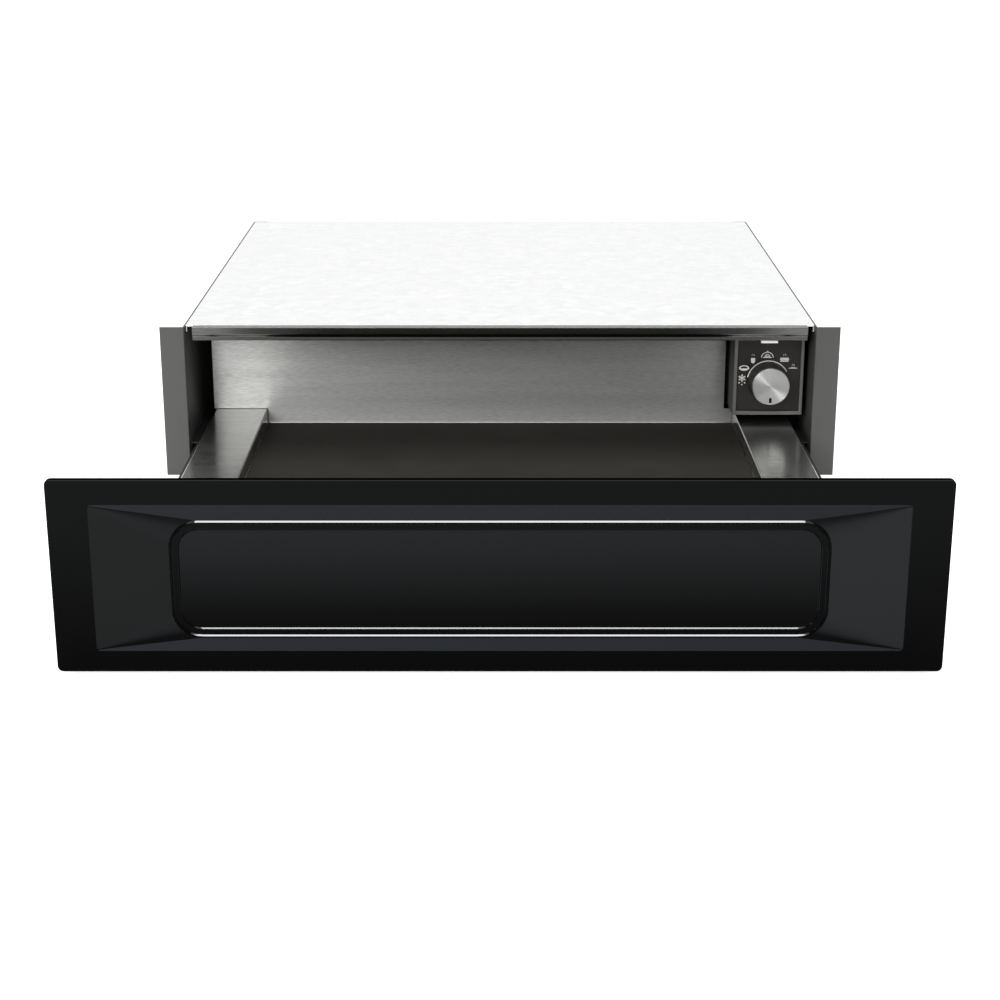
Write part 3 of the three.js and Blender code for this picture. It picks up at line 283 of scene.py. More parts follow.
@dataclass(frozen=True)
class VitreousEnamel(Finish):
    """Glass fused onto pressed steel: deep gloss black with a very slight orange peel.

    Light and shade are painted into its colour: painted shade makes it blackest at the foot,
    painted light makes the sunk middle field and the gentle slopes greyer, the left-hand slopes
    are painted darker than the right, and steep walls and the slopes' corners stay black as shade.
    Where a steep wall faces up, the molten glass runs smooth and shines most.
    """

    # Painted shade: the black at the panel's foot and on its steep walls.
    shade_black: str = "#010101"
    # Painted light: the sunk middle field, lighter towards its top.
    field_painted_light: str = "#1e1f20"
    # Painted light on the gentle slopes; their corners are left in painted shade.
    slope_painted_light: str = "#25272a"
    # Painted shade on the left-hand slopes and painted light on the right-hand ones.
    left_slope_painted_shade: str = "#1b1c1c"
    right_slope_painted_light: str = "#252729"
    # Heights in millimetres over which the painted shade at the foot gives way to the panel's own
    # colour, and the sunk field's painted light grows upwards.
    painted_shade_rise: Span = (5.0, 132.0)
    field_light_rise: Span = (32.0, 104.0)
    # Millimetres along Y, between which the sunk field starts.
    field_plane: Span = (-701.3, -701.15)
    # Parts of the surface's normal, between which one kind of wall goes over into the next.
    off_flat: Span = (-0.9999, -0.998)
    below_steep: Span = (-0.77, -0.805)
    # Steep walls past this are painted black as shade.
    into_steep: Span = (-0.805, -0.77)
    off_corner: Span = (0.0035, 0.0003)
    to_right: Span = (0.02, 0.05)
    to_left: Span = (-0.02, -0.05)
    upward: Span = (0.6, 0.64)
    off_level: Span = (0.88, 0.84)
    peel: float = 9.0
    run_roughness: float = 0.05
    run_ior: float = 1.55

    def mask(
        self, tree: bpy.types.NodeTree, *limits: tuple[bpy.types.NodeSocket, Span]
    ) -> bpy.types.NodeSocket:
        """Marks where all of several values lie past their limits.

        Args:
            tree: the material's node tree.
            limits: each value with the numbers where it starts to count and counts in full.

        Returns:
            A socket that is 1 there, and 0 where any value falls short.
        """
        marked: bpy.types.NodeSocket | float = 1.0
        for value, (start, end) in limits:
            step = add_node(
                tree,
                "ShaderNodeMapRange",
                {"Value": value, "From Min": start, "From Max": end},
                interpolation_type="SMOOTHSTEP",
            )
            both = {0: marked, 1: step.outputs[0]}
            marked = add_node(tree, "ShaderNodeMath", both, operation="MULTIPLY").outputs[0]
        return marked

    def painted_light_and_shade(
        self, tree: bpy.types.NodeTree, normal: Sequence[bpy.types.NodeSocket]
    ) -> bpy.types.NodeSocket:
        """Paints light and shade into the glass's colour by height, place, slope and side.

        Args:
            tree: the material's node tree.
            normal: the X, Y and Z of the surface's normal.

        Returns:
            The colour.
        """
        place = add_node(tree, "ShaderNodeTexCoord")
        spot = add_node(tree, "ShaderNodeSeparateXYZ", {0: place.outputs["Object"]}).outputs
        painted_shade_rise, rise, plane = (
            tuple(end * MM for end in span)
            for span in (self.painted_shade_rise, self.field_light_rise, self.field_plane)
        )
        # Only the corners, where two slopes meet, face aside and up or down at once.
        both_ways = {0: normal[0], 1: normal[2]}
        slanted = add_node(tree, "ShaderNodeMath", both_ways, operation="MULTIPLY")
        size = add_node(tree, "ShaderNodeMath", {0: slanted.outputs[0]}, operation="ABSOLUTE")
        # Painted light on the gentle slopes, away from the steep walls and the corners, which stay in
        # painted shade.
        slope = (
            (normal[1], self.off_flat),
            (normal[1], self.below_steep),
            (size.outputs[0], self.off_corner),
        )
        # Mixed in turn: painted shade at the foot, painted light on the sunk field and gentle slopes,
        # the left slopes darker and the right ones lighter, and steep walls painted black.
        colour = linear(self.shade_black)
        for limits, painted_tone in (
            (((spot[2], painted_shade_rise),), self.colour),
            (((spot[1], plane), (spot[2], rise)), self.field_painted_light),
            (slope, self.slope_painted_light),
            ((*slope, (normal[0], self.to_right)), self.left_slope_painted_shade),
            ((*slope, (normal[0], self.to_left)), self.right_slope_painted_light),
            # Steep walls painted black as shade.
            (((normal[1], self.into_steep),), self.shade_black),
        ):
            inputs = {0: self.mask(tree, *limits), 6: colour, 7: linear(painted_tone)}
            colour = add_node(tree, "ShaderNodeMix", inputs, data_type="RGBA").outputs[2]
        return colour

    def detail(self, surface: Surface) -> None:
        """Adds the orange peel, the painted light and shade, and the run glass on the ring's walls.

        Args:
            surface: the material's surface.
        """
        tree = surface.tree
        ripple = surface.texture(NOISE, (self.peel,) * 3, {"Detail": 1.0})
        surface.relief(ripple.outputs[0], depth=0.01, strength=0.3)
        surface.gloss(ripple.outputs[0], spread=0.03)
        facing = add_node(tree, "ShaderNodeNewGeometry").outputs["Normal"]
        normal = add_node(tree, "ShaderNodeSeparateXYZ", {0: facing}).outputs
        tree.links.new(self.painted_light_and_shade(tree, normal), surface.shader.inputs["Base Color"])
        run = self.mask(tree, (normal[2], self.upward), (normal[2], self.off_level))
        tree.links.new(run, surface.shader.inputs["Coat Weight"])
        surface.shader.inputs["Coat Roughness"].default_value = self.run_roughness
        surface.shader.inputs["Coat IOR"].default_value = self.run_ior


@dataclass(frozen=True)
class BrushedStainless(Finish):
    """Austenitic stainless sheet, ground with a belt: fine straight scratches along one axis.

    Real scratches are about 0.05 mm wide, too fine for the picture, so they are drawn 0.7 mm wide.
    """

    grain: Axis = Axis.X
    scratch: float = 0.7
    scratch_run: float = 7.0
    cloud: float = 7.0
    cloud_run: float = 90.0
    cloud_share: float = 0.3
    contrast: Span = (0.3, 0.7)
    dark: str = "#a3a3a1"
    anisotropy: float = 0.7

    def detail(self, surface: Surface) -> None:
        """Adds the scratches to colour, gloss and relief, and slow clouds of the belt's pressure.

        Args:
            surface: the material's surface.
        """
        tree = surface.tree
        layers = []
        for width, run in ((self.scratch, self.scratch_run), (self.cloud, self.cloud_run)):
            period = [width] * 3
            period[self.grain.value] = run
            layers.append(surface.texture(NOISE, period, {"Detail": 2.0}).outputs[0])
        scratches, clouds = layers
        inputs = {0: self.cloud_share, 2: scratches, 3: clouds}
        both = add_node(tree, "ShaderNodeMix", inputs, data_type="FLOAT").outputs[0]
        values = {"Value": both, "From Min": self.contrast[0], "From Max": self.contrast[1]}
        sharp = add_node(tree, "ShaderNodeMapRange", values).outputs[0]
        surface.tint(sharp, self.dark)
        surface.gloss(sharp, spread=0.05)
        surface.relief(scratches, depth=0.01, strength=0.25)
        surface.comb(self.anisotropy)


@dataclass(frozen=True)
class SpunAluminium(Finish):
    """Aluminium turned on a lathe: fine rings round the axis, which throw bright wedges."""

    centre: Span = (0.0, 0.0)
    ring: float = 0.35
    worn: str = "#a9a9a7"

    def detail(self, surface: Surface) -> None:
        """Adds the turning rings to gloss and colour.

        Args:
            surface: the material's surface.
        """
        tree = surface.tree
        place = add_node(tree, "ShaderNodeTexCoord").outputs["Object"]
        middle = (-self.centre[0] * MM, 0.0, -self.centre[1] * MM)
        moved = add_node(tree, "ShaderNodeMapping", {"Vector": place, "Location": middle})
        across = {0: moved.outputs[0], 1: (1.0, 0.0, 1.0)}
        flat = add_node(tree, "ShaderNodeVectorMath", across, operation="MULTIPLY")
        reach = {0: flat.outputs[0]}
        radius = add_node(tree, "ShaderNodeVectorMath", reach, operation="LENGTH")
        turns = {0: radius.outputs["Value"], 1: 1 / (self.ring * MM)}
        step = add_node(tree, "ShaderNodeMath", turns, operation="MULTIPLY")
        values = {"W": step.outputs[0], "Scale": 1.0, "Detail": 2.0}
        rings = add_node(tree, NOISE, values, noise_dimensions="1D").outputs[0]
        surface.tint(rings, self.worn)
        surface.gloss(rings, spread=0.06)
        surface.comb(strength=0.95)


@dataclass(frozen=True)
class PaintedSteel(Finish):
    """Steel with a baked satin paint: even, with a faint eggshell texture."""

    eggshell: float = 1.4
    depth: float = 0.02
    patch: float = 70.0
    worn: str = "#7c7c7a"

    def detail(self, surface: Surface) -> None:
        """Adds the eggshell texture and a slow change of colour.

        Args:
            surface: the material's surface.
        """
        shell = surface.texture(NOISE, (self.eggshell,) * 3, {"Detail": 2.0})
        surface.relief(shell.outputs[0], depth=self.depth, strength=0.4)
        surface.gloss(shell.outputs[0], spread=0.05)
        slow = surface.texture(NOISE, (self.patch,) * 3, {"Detail": 1.0})
        surface.tint(slow.outputs[0], self.worn, share=0.12)


@dataclass(frozen=True)
class GalvanisedSheet(Finish):
    """Hot-dip zinc-coated steel: a grey metal with faint flowers of crystallised zinc."""

    spangle: float = 9.0
    grit: float = 0.6
    bright: str = "#a9adb1"

    def detail(self, surface: Surface) -> None:
        """Adds the zinc crystals, each with its own shade and gloss.

        Args:
            surface: the material's surface.
        """
        tree = surface.tree
        crystals = surface.texture(CELLS, (self.spangle,) * 3)
        shade = add_node(tree, "ShaderNodeSeparateColor", {0: crystals.outputs["Color"]})
        surface.tint(shade.outputs[0], self.bright)
        surface.gloss(shade.outputs[1], spread=0.08)
        frost = surface.texture(NOISE, (self.grit,) * 3, {"Detail": 2.0})
        surface.relief(frost.outputs[0], depth=0.01, strength=0.3)


@dataclass(frozen=True)
class RolledSteel(Finish):
    """Plated steel, roll-formed: long draw lines along the runner."""

    line: Place = (0.8, 140.0, 0.8)
    smear: Place = (12.0, 45.0, 12.0)
    drawn: str = "#77797b"

    def detail(self, surface: Surface) -> None:
        """Adds the draw lines and thin smears of grease.

        Args:
            surface: the material's surface.
        """
        lines = surface.texture(NOISE, self.line, {"Detail": 3.0})
        surface.tint(lines.outputs[0], self.drawn)
        surface.relief(lines.outputs[0], depth=0.01, strength=0.3)
        grease = surface.texture(NOISE, self.smear, {"Detail": 1.0})
        surface.gloss(grease.outputs[0], spread=0.12)


@dataclass(frozen=True)
class MouldedPlastic(Finish):
    """Injection-moulded thermoplastic with the fine spark texture of its mould."""

    spark: float = 0.5
    depth: float = 0.03
    flow: float = 14.0
    other: str = "#2a2a2a"

    def detail(self, surface: Surface) -> None:
        """Adds the spark texture and a faint flow of colour.

        Args:
            surface: the material's surface.
        """
        sparks = surface.texture(NOISE, (self.spark,) * 3, {"Detail": 2.0})
        surface.relief(sparks.outputs[0], depth=self.depth, strength=0.35)
        surface.gloss(sparks.outputs[0], spread=0.06)
        flow = surface.texture(NOISE, (self.flow,) * 3, {"Detail": 1.0})
        surface.tint(flow.outputs[0], self.other, share=0.25)


@dataclass(frozen=True)
class RubberMat(Finish):
    """Calendered silicone rubber sheet: matt, with a fine pebbled face and a slight bloom."""

    pebble: float = 1.2
    patch: float = 60.0
    bloom: str = "#34322f"

    def detail(self, surface: Surface) -> None:
        """Adds the pebbles and the bloom.

        Args:
            surface: the material's surface.
        """
        pebbles = surface.texture(CELLS, (self.pebble,) * 3)
        surface.relief(pebbles.outputs["Distance"], depth=0.05, strength=0.3)
        bloom = surface.texture(NOISE, (self.patch,) * 3, {"Detail": 3.0})
        surface.tint(bloom.outputs[0], self.bloom, share=0.5)


@dataclass(frozen=True)
class HeatedSheath(Finish):
    """Nickel alloy tube of a heating element, with the straw and brown tints of heat."""

    patch: float = 30.0
    straw: str = "#8a6f58"

    def detail(self, surface: Surface) -> None:
        """Adds the heat tints in patches along the tube.

        Args:
            surface: the material's surface.
        """
        patches = surface.texture(NOISE, (self.patch,) * 3, {"Detail": 3.0})
        surface.tint(patches.outputs[0], self.straw)
        surface.gloss(patches.outputs[0], spread=0.1)


@dataclass(frozen=True)
class BraidedSleeve(Finish):
    """Glass-fibre sleeve round the wires: a fine diagonal braid."""

    strand: float = 1.6
    lit_strand: str = "#5b5b58"

    def detail(self, surface: Surface) -> None:
        """Adds the braid's diagonal strands.

        Args:
            surface: the material's surface.
        """
        strands = surface.texture(
            "ShaderNodeTexWave",
            (self.strand,) * 3,
            {"Scale": 0.5, "Distortion": 1.0},
            bands_direction="DIAGONAL",
        )
        surface.tint(strands.outputs["Fac"], self.lit_strand)
        surface.relief(strands.outputs["Fac"], depth=0.3, strength=0.5)


@dataclass(frozen=True)
class PrintedInk(Finish):
    """Screen-printed ink: matt, slightly uneven in cover."""

    mesh: float = 0.8
    thin: str = "#e6e4de"

    def detail(self, surface: Surface) -> None:
        """Adds the uneven cover of the ink.

        Args:
            surface: the material's surface.
        """
        cover = surface.texture(NOISE, (self.mesh,) * 3, {"Detail": 2.0})
        surface.tint(cover.outputs[0], self.thin)


@dataclass(frozen=True)
class LampLens(Finish):
    """Opal polycarbonate of the indicator, lit from behind: milky white and glossy."""

    cloud: float = 3.0
    milk: str = "#e2e2de"
    lamp: str = "#fffdf5"
    depth: float = 1.0

    def detail(self, surface: Surface) -> None:
        """Adds the milky depth of the opal plastic.

        Args:
            surface: the material's surface.
        """
        milk = surface.texture(NOISE, (self.cloud,) * 3, {"Detail": 1.0})
        surface.tint(milk.outputs[0], self.milk)
        for socket, value in (
            ("Emission Color", linear(self.lamp)),
            ("Emission Strength", 0.5),
            ("Subsurface Weight", 0.2),
            ("Subsurface Radius", (self.depth * MM,) * 3),
        ):
            surface.shader.inputs[socket].default_value = value


# Black glass enamel: a deep gloss in which only soft, dark reflections stand.
ENAMEL = VitreousEnamel("vitreous_enamel_black", "#0d0e0e", 0.1, specular=0.03, slot="black_enamel")
# Matt black without gloss on the panel's edge: a thin dead-black line of painted shade.
EDGE_PAINTED_SHADE = PaintedSteel(
    "matt_ground_coat_on_edge", "#020202", 0.9, specular=0.0, worn="#040404"
)
# Satin grey paint: the flanges' even, slightly metallic grey.
CASE_PAINT = PaintedSteel(
    "satin_paint_grey_on_steel", "#4b4b4a", 0.42, 0.2, slot="case_paint", worn="#565653"
)
# The case paint darkened to black: painted shade on the box's sides beside the fascia.
BOX_SHADED_PAINT = PaintedSteel(
    "satin_paint_black_on_steel", "#080807", 0.5, specular=0.2, slot="case_paint", worn="#10100e"
)
# Galvanised sheet: dull grey with faint flowers, on everything that isn't seen from the front.
ZINC = GalvanisedSheet("hot_dip_galvanised_steel", "#9da1a5", 0.42, 0.9, slot="zinc_sheet")
# Galvanised sheet lifted near white: painted light, so the top is as pale as the white room it
# mirrors.
ZINC_PAINTED_LIGHT = GalvanisedSheet(
    "bright_galvanised_cover_sheet", "#eff0f1", 0.2, 1.0, slot="zinc_sheet", bright="#f7f7f7"
)
# Brushed stainless: the rear wall's pale, cloudy sheen with fine level scratches.
STAINLESS = BrushedStainless(
    "brushed_stainless_steel", "#c8c8c6", 0.46, 1.0, slot="brushed_steel", dark="#a4a4a2"
)
# The same sheet, ground finer: the ledges mirror the walls and the control box.
STAINLESS_SIDE = BrushedStainless(
    "bright_brushed_stainless_steel",
    "#d2d2d0",
    0.2,
    1.0,
    slot="brushed_steel",
    dark="#b4b4b2",
    anisotropy=0.5,
)
# Rolled stainless: the rail's narrow bright line over a dark face.
RAIL_STEEL = BrushedStainless(
    "bright_rolled_stainless_steel",
    "#5e5e5c",
    0.18,
    1.0,
    slot="rail_paint",
    dark="#535351",
    anisotropy=0.3,
)
# Black passivated steel: the runners stay dark in their gaps, with long draw lines.
RUNNER_STEEL = RolledSteel(
    "black_passivated_rolled_steel", "#1d1d1b", 0.5, 0.3, 0.3, "runner_steel", drawn="#2a2a28"
)
# Bright zinc plate: small, clear glints on the screws and the shaft.
SCREW_STEEL = RolledSteel("zinc_plated_screw_steel", "#a5a7aa", 0.28, 1.0, slot="screw_steel")
# Silicone rubber: the mat's flat, warm black without a highlight.
MAT_RUBBER = RubberMat("silicone_rubber_sheet", "#1e1c19", 0.75, specular=0.06, slot="mat")
# Nitrile rubber: the buffers' dull black.
BUFFER_RUBBER = MouldedPlastic(
    "nitrile_rubber", "#1d1d1d", 0.75, specular=0.3, slot="buffer_rubber"
)
# Anodised aluminium: the frame's fine, even mid-grey round the fascia.
BEZEL = PaintedSteel(
    "satin_anodised_aluminium", "#6a6a67", 0.4, 0.6, slot="bezel", eggshell=0.7
)
# Moulded ABS: the fascia's warm near-black, against which the print stands out.
FASCIA = MouldedPlastic(
    "moulded_abs_dark", "#211e1d", 0.5, specular=0.3, slot="fascia", other="#282523"
)
# Black polyamide: a half-matt black with a fine grain.
DARK_PLASTIC = MouldedPlastic("moulded_polyamide_black", "#1c1c1d", 0.5, slot="dark_plastic")
# Uncoloured polyamide: the warm off-white of electrical parts.
PALE_PLASTIC = MouldedPlastic(
    "moulded_polyamide_natural", "#d3d0c6", 0.5, slot="pale_plastic", other="#c4c0b4"
)
# Opal polycarbonate: the lamp's small, bright, milky bar.
LENS = LampLens("opal_polycarbonate", "#f1f1ee", 0.25, slot="pale_lens")
# Printing ink: crisp, matt white signs.
INK = PrintedInk("screen_printed_ink", "#fbfaf6", 0.6)
# Black filling of the groove: the pointer's dark stroke on the bright disc.
POINTER_INK = PrintedInk("black_filled_groove", "#020202", 0.6, specular=0.05, thin="#050505")
# Oxidised nickel alloy: brown and straw patches along the heating tube.
SHEATH = HeatedSheath("oxidised_nickel_alloy_tube", "#54463d", 0.45, 0.85, slot="element_sheath")
# Aluminised steel: the reflector's bright, silvery face with small crystals.
REFLECTOR = GalvanisedSheet(
    "aluminised_steel_sheet",
    "#c9cbcb",
    0.25,
    1.0,
    slot="reflector",
    spangle=3.0,
    bright="#d9dadb",
)
# Glass-fibre sleeve: a dark hose with a fine slanting weave.
SLEEVE = BraidedSleeve("glass_fibre_sleeve", "#33332f", 0.7, slot="loom_sleeve")


# ---- Shaping ------------------------------------------------------------------------------------


@dataclass
class Workpiece:
    """One mesh while it is shaped, in millimetres."""

    name: str
    bm: bmesh.types.BMesh = field(default_factory=bmesh.new)

    def outline(
        self, x: Span, z: Span, y: float, radius: float, inset: float = 0.0
    ) -> bmesh.types.BMFace:
        """Makes an upright rectangle with round corners.

        Args:
            x: the left and right edge of the rectangle that it lies in.
            z: the lower and upper edge of that rectangle.
            y: the plane that it stands in.
            radius: the radius of its corners, or 0.
            inset: its distance inside those edges.

        Returns:
            The rectangle's one face, which looks towards -Y.
        """
        left, right = x[0] + inset, x[1] - inset
        low, high = z[0] + inset, z[1] - inset
        made = bmesh.ops.create_grid(self.bm, x_segments=1, y_segments=1, size=0.5)
        corners = made["verts"]
        size = Vector((right - left, high - low, 1.0))
        bmesh.ops.scale(self.bm, vec=size, verts=corners)
        bmesh.ops.rotate(self.bm, matrix=Matrix.Rotation(math.pi / 2, 3, "X"), verts=corners)
        middle = Vector(((left + right) / 2, y, (low + high) / 2))
        bmesh.ops.translate(self.bm, vec=middle, verts=corners)
        face = corners[0].link_faces[0]
        if radius <= 0:
            return face
        self._round(corners, radius, CORNER_STEPS, "VERTICES")
        lone = [
            f
            for f in self.bm.faces
            if all(len(e.link_faces) == 1 for e in f.edges)
            and abs(f.calc_center_bounds().y - y) < WELD
        ]
        return min(lone, key=lambda f: (f.calc_center_bounds() - middle).length)

    def loop(self, face: bmesh.types.BMFace) -> list[bmesh.types.BMEdge]:
        """Keeps a face's edges and removes the face itself.

        Args:
            face: a face that nothing else touches.

        Returns:
            Its edges.
        """
        edges = list(face.edges)
        bmesh.ops.delete(self.bm, geom=[face], context="FACES_ONLY")
        return edges

    def bridge(self, loops: Sequence[Sequence[bmesh.types.BMEdge]]) -> None:
        """Joins each loop of edges with the next one by a band of faces.

        Args:
            loops: the edges of each loop, in order.
        """
        for first, second in zip(loops, loops[1:]):
            bmesh.ops.bridge_loops(self.bm, edges=[*first, *second])

    def _round(
        self,
        geometry: Sequence[bmesh.types.BMVert] | Sequence[bmesh.types.BMEdge],
        width: float,
        steps: int,
        kind: str,
    ) -> None:
        """Bevels geometry.

        Args:
            geometry: the vertices or edges.
            width: the bevel's width on each side.
            steps: its segments.
            kind: VERTICES or EDGES.
        """
        bmesh.ops.bevel(
            self.bm,
            geom=geometry,
            offset=width,
            offset_type="OFFSET",
            segments=steps,
            profile=0.5,
            affect=kind,
            clamp_overlap=kind == "EDGES",
            material=-1,
        )

    def bevel(self, edges: Iterable[bmesh.types.BMEdge], width: float, steps: int = 3) -> None:
        """Rounds edges.

        Args:
            edges: the edges. Those that an earlier bevel used up are passed over.
            width: the rounding's width on each side.
            steps: its segments.
        """
        self._round([e for e in edges if e.is_valid], width, steps, "EDGES")

    def sharp_edges(self) -> list[bmesh.types.BMEdge]:
        """Gives the edges where the faces turn sharply."""
        paired = [e for e in self.bm.edges if len(e.link_faces) == 2]
        return [e for e in paired if e.calc_face_angle(0.0) > SHARP_ANGLE]

    def added(self, before: set[bmesh.types.BMVert]) -> list[bmesh.types.BMVert]:
        """Gives the vertices that weren't there before."""
        return [v for v in self.bm.verts if v not in before]

    def block(
        self, x: Span, y: Span, z: Span, edge: float = 0.0, steps: int = 2
    ) -> list[bmesh.types.BMVert]:
        """Adds a block, its edges rounded if asked.

        Args:
            x: its extent along X.
            y: its extent along Y.
            z: its extent along Z.
            edge: the rounding's width, or 0.
            steps: the rounding's segments.

        Returns:
            The block's vertices before the rounding.
        """
        made = bmesh.ops.create_cube(self.bm, size=1.0)["verts"]
        spans = (x, y, z)
        bmesh.ops.scale(self.bm, vec=[abs(b - a) for a, b in spans], verts=made)
        bmesh.ops.translate(self.bm, vec=[(a + b) / 2 for a, b in spans], verts=made)
        if edge > 0:
            edges = {e for v in made for e in v.link_edges}
            self.bevel(edges, edge, steps)
        return made

    def turned(self, profile: Sequence[Span], centre: Vector, steps: int) -> None:
        """Spins a profile round an axis along Y.

        Args:
            profile: points of (radius, place along Y).
            centre: a point on the axis, where Y is 0.
            steps: the segments of the full turn.
        """
        before = set(self.bm.verts)
        along = Axis.Y.vector
        across = Axis.Z.vector
        points = [self.bm.verts.new(centre + across * r + along * d) for r, d in profile]
        edges = [self.bm.edges.new(pair) for pair in zip(points, points[1:])]
        bmesh.ops.spin(
            self.bm,
            geom=[*points, *edges],
            cent=centre,
            axis=along,
            angle=math.tau,
            steps=steps,
            use_merge=True,
            use_duplicate=False,
        )
        bmesh.ops.remove_doubles(self.bm, verts=self.added(before), dist=WELD)

    def pull(self, faces: Sequence[bmesh.types.BMFace], move: Vector) -> None:
        """Gives flat faces a body.

        Args:
            faces: the faces, which stay as its near end.
            move: the way to its far end.
        """
        drawn = bmesh.ops.extrude_face_region(self.bm, geom=faces, use_keep_orig=True)["geom"]
        moved = [g for g in drawn if isinstance(g, bmesh.types.BMVert)]
        bmesh.ops.translate(self.bm, vec=move, verts=moved)

    def fold(
        self, profile: Sequence[Span], axis: Axis, span: Span, sheet: float, radius: float
    ) -> None:
        """Folds a sheet: draws a profile along an axis, rounds its bends and gives it thickness.

        Args:
            profile: points of the outer face: (y, z) along X, (x, z) along Y or (x, y) along Z.
            axis: the direction that the profile is drawn along.
            span: where it starts and ends.
            sheet: the thickness, to the left of the profile's direction, or right if negative.
            radius: the outer radius of the bends.
        """
        start = []
        for point in profile:
            place = list(point)
            place.insert(axis.value, span[0])
            start.append(Vector(place))
        points = [self.bm.verts.new(p) for p in start]
        edges = [self.bm.edges.new(pair) for pair in zip(points, points[1:])]
        drawn = bmesh.ops.extrude_edge_only(self.bm, edges=edges)["geom"]
        moved = [g for g in drawn if isinstance(g, bmesh.types.BMVert)]
        bmesh.ops.translate(self.bm, vec=axis.vector * (span[1] - span[0]), verts=moved)
        bends = [e for e in self.bm.edges if len(e.link_faces) == 2]
        self.bevel(bends, radius, BEND_STEPS)
        faces = self.bm.faces[:]
        bmesh.ops.recalc_face_normals(self.bm, faces=faces)
        middle = (start[0] + start[1]) / 2
        first = min(faces, key=lambda f: (f.calc_center_median() - middle).length)
        left = axis.vector.cross(start[1] - start[0]).normalized()
        if axis is Axis.Y:
            left = -left
        if first.normal.dot(left) > 0:
            bmesh.ops.reverse_faces(self.bm, faces=faces)
        bmesh.ops.solidify(self.bm, geom=faces, thickness=sheet)

    def copy_of(self, node: str, edge: float) -> None:
        """Takes over a node's shape, joins its loose triangles and rounds its sharp edges.

        Args:
            node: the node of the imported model.
            edge: the rounding's width.
        """
        self.bm.from_mesh(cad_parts[node].data)
        bmesh.ops.scale(self.bm, vec=(1 / MM,) * 3, verts=self.bm.verts)
        bmesh.ops.remove_doubles(self.bm, verts=self.bm.verts, dist=NODE_WELD)
        bmesh.ops.dissolve_limit(
            self.bm, angle_limit=FLAT_ANGLE, verts=self.bm.verts, edges=self.bm.edges
        )
        if edge > 0:
            self.bevel(self.sharp_edges(), edge, 2)

    def lay_grain(self, along: Axis) -> None:
        """Gives the mesh a UV map whose U runs across the grain, the way its highlights spread.

        Args:
            along: the grain's direction.
        """
        layer = self.bm.loops.layers.uv.new(GRAIN_MAP)
        for face in self.bm.faces:
            across = max(
                (a for a in Axis if a is not along),
                key=lambda a: abs(face.normal.cross(along.vector).dot(a.vector)),
            )
            for loop in face.loops:
                loop[layer].uv = (loop.vert.co[across.value] * MM, loop.vert.co[along.value] * MM)

    def lay_rings(self, centre: Vector) -> None:
        """Gives the mesh a UV map whose U runs outwards from an axis along Y, across the rings.

        Args:
            centre: a point on the axis.
        """
        layer = self.bm.loops.layers.uv.new(GRAIN_MAP)
        for face in self.bm.faces:
            middle = face.calc_center_median() - centre
            base = math.atan2(middle.z, middle.x)
            for loop in face.loops:
                arm = loop.vert.co - centre
                turn = math.atan2(arm.z, arm.x) - base
                turn = (turn + math.pi) % math.tau - math.pi
                reach = math.hypot(arm.x, arm.z)
                if reach < ON_AXIS:
                    turn = 0.0
                loop[layer].uv = (reach * MM + arm.y * MM, base + turn)

    def finish(
        self,
        finish: Finish,
        body: Body,
        replaces: Sequence[str] = (),
        outward: bool = True,
        weighted: bool = True,
    ) -> None:
        """Turns the workpiece into a piece of the drawer.

        Args:
            finish: what it is made of.
            body: the body that it rides on.
            replaces: the nodes that it stands for.
            outward: whether the faces are turned outwards first.
            weighted: whether flat faces keep flat shading next to rounded edges.
        """
        if outward:
            bmesh.ops.recalc_face_normals(self.bm, faces=self.bm.faces)
        for edge in self.bm.edges:
            edge.smooth = edge.calc_face_angle(0.0) < SMOOTH_ANGLE
        for face in self.bm.faces:
            face.smooth = True
        bmesh.ops.scale(self.bm, vec=(MM,) * 3, verts=self.bm.verts)
        mesh = bpy.data.meshes.new(self.name)
        self.bm.to_mesh(mesh)
        self.bm.free()
        mesh.materials.append(finish.material())
        piece = bpy.data.objects.new(self.name, mesh)
        bpy.context.scene.collection.objects.link(piece)
        if weighted:
            shading = piece.modifiers.new("even_flats", "WEIGHTED_NORMAL")
            shading.keep_sharp = True
            shading.weight = FLATS_WEIGHT
        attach(piece, body.value)
        if replaces:
            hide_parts(*replaces)
        log.info("%s: %d faces, %s", self.name, len(mesh.polygons), finish.name)


def trimmed(
    node: str, finish: Finish, body: Body, edge: float = 0.25, grain: Axis | None = None
) -> None:
    """Stands a piece with rounded edges in for a node whose shape is right.

    Args:
        node: the node.
        finish: what the piece is made of.
        body: the body that it rides on.
        edge: the rounding's width.
        grain: the direction of the grain, if the finish has one.
    """
    piece = Workpiece(f"{node}_trimmed")
    piece.copy_of(node, edge)
    if grain is not None:
        piece.lay_grain(grain)
    piece.finish(finish, body, [node], outward=False)


# ---- The drawer's front -------------------------------------------------------------------------


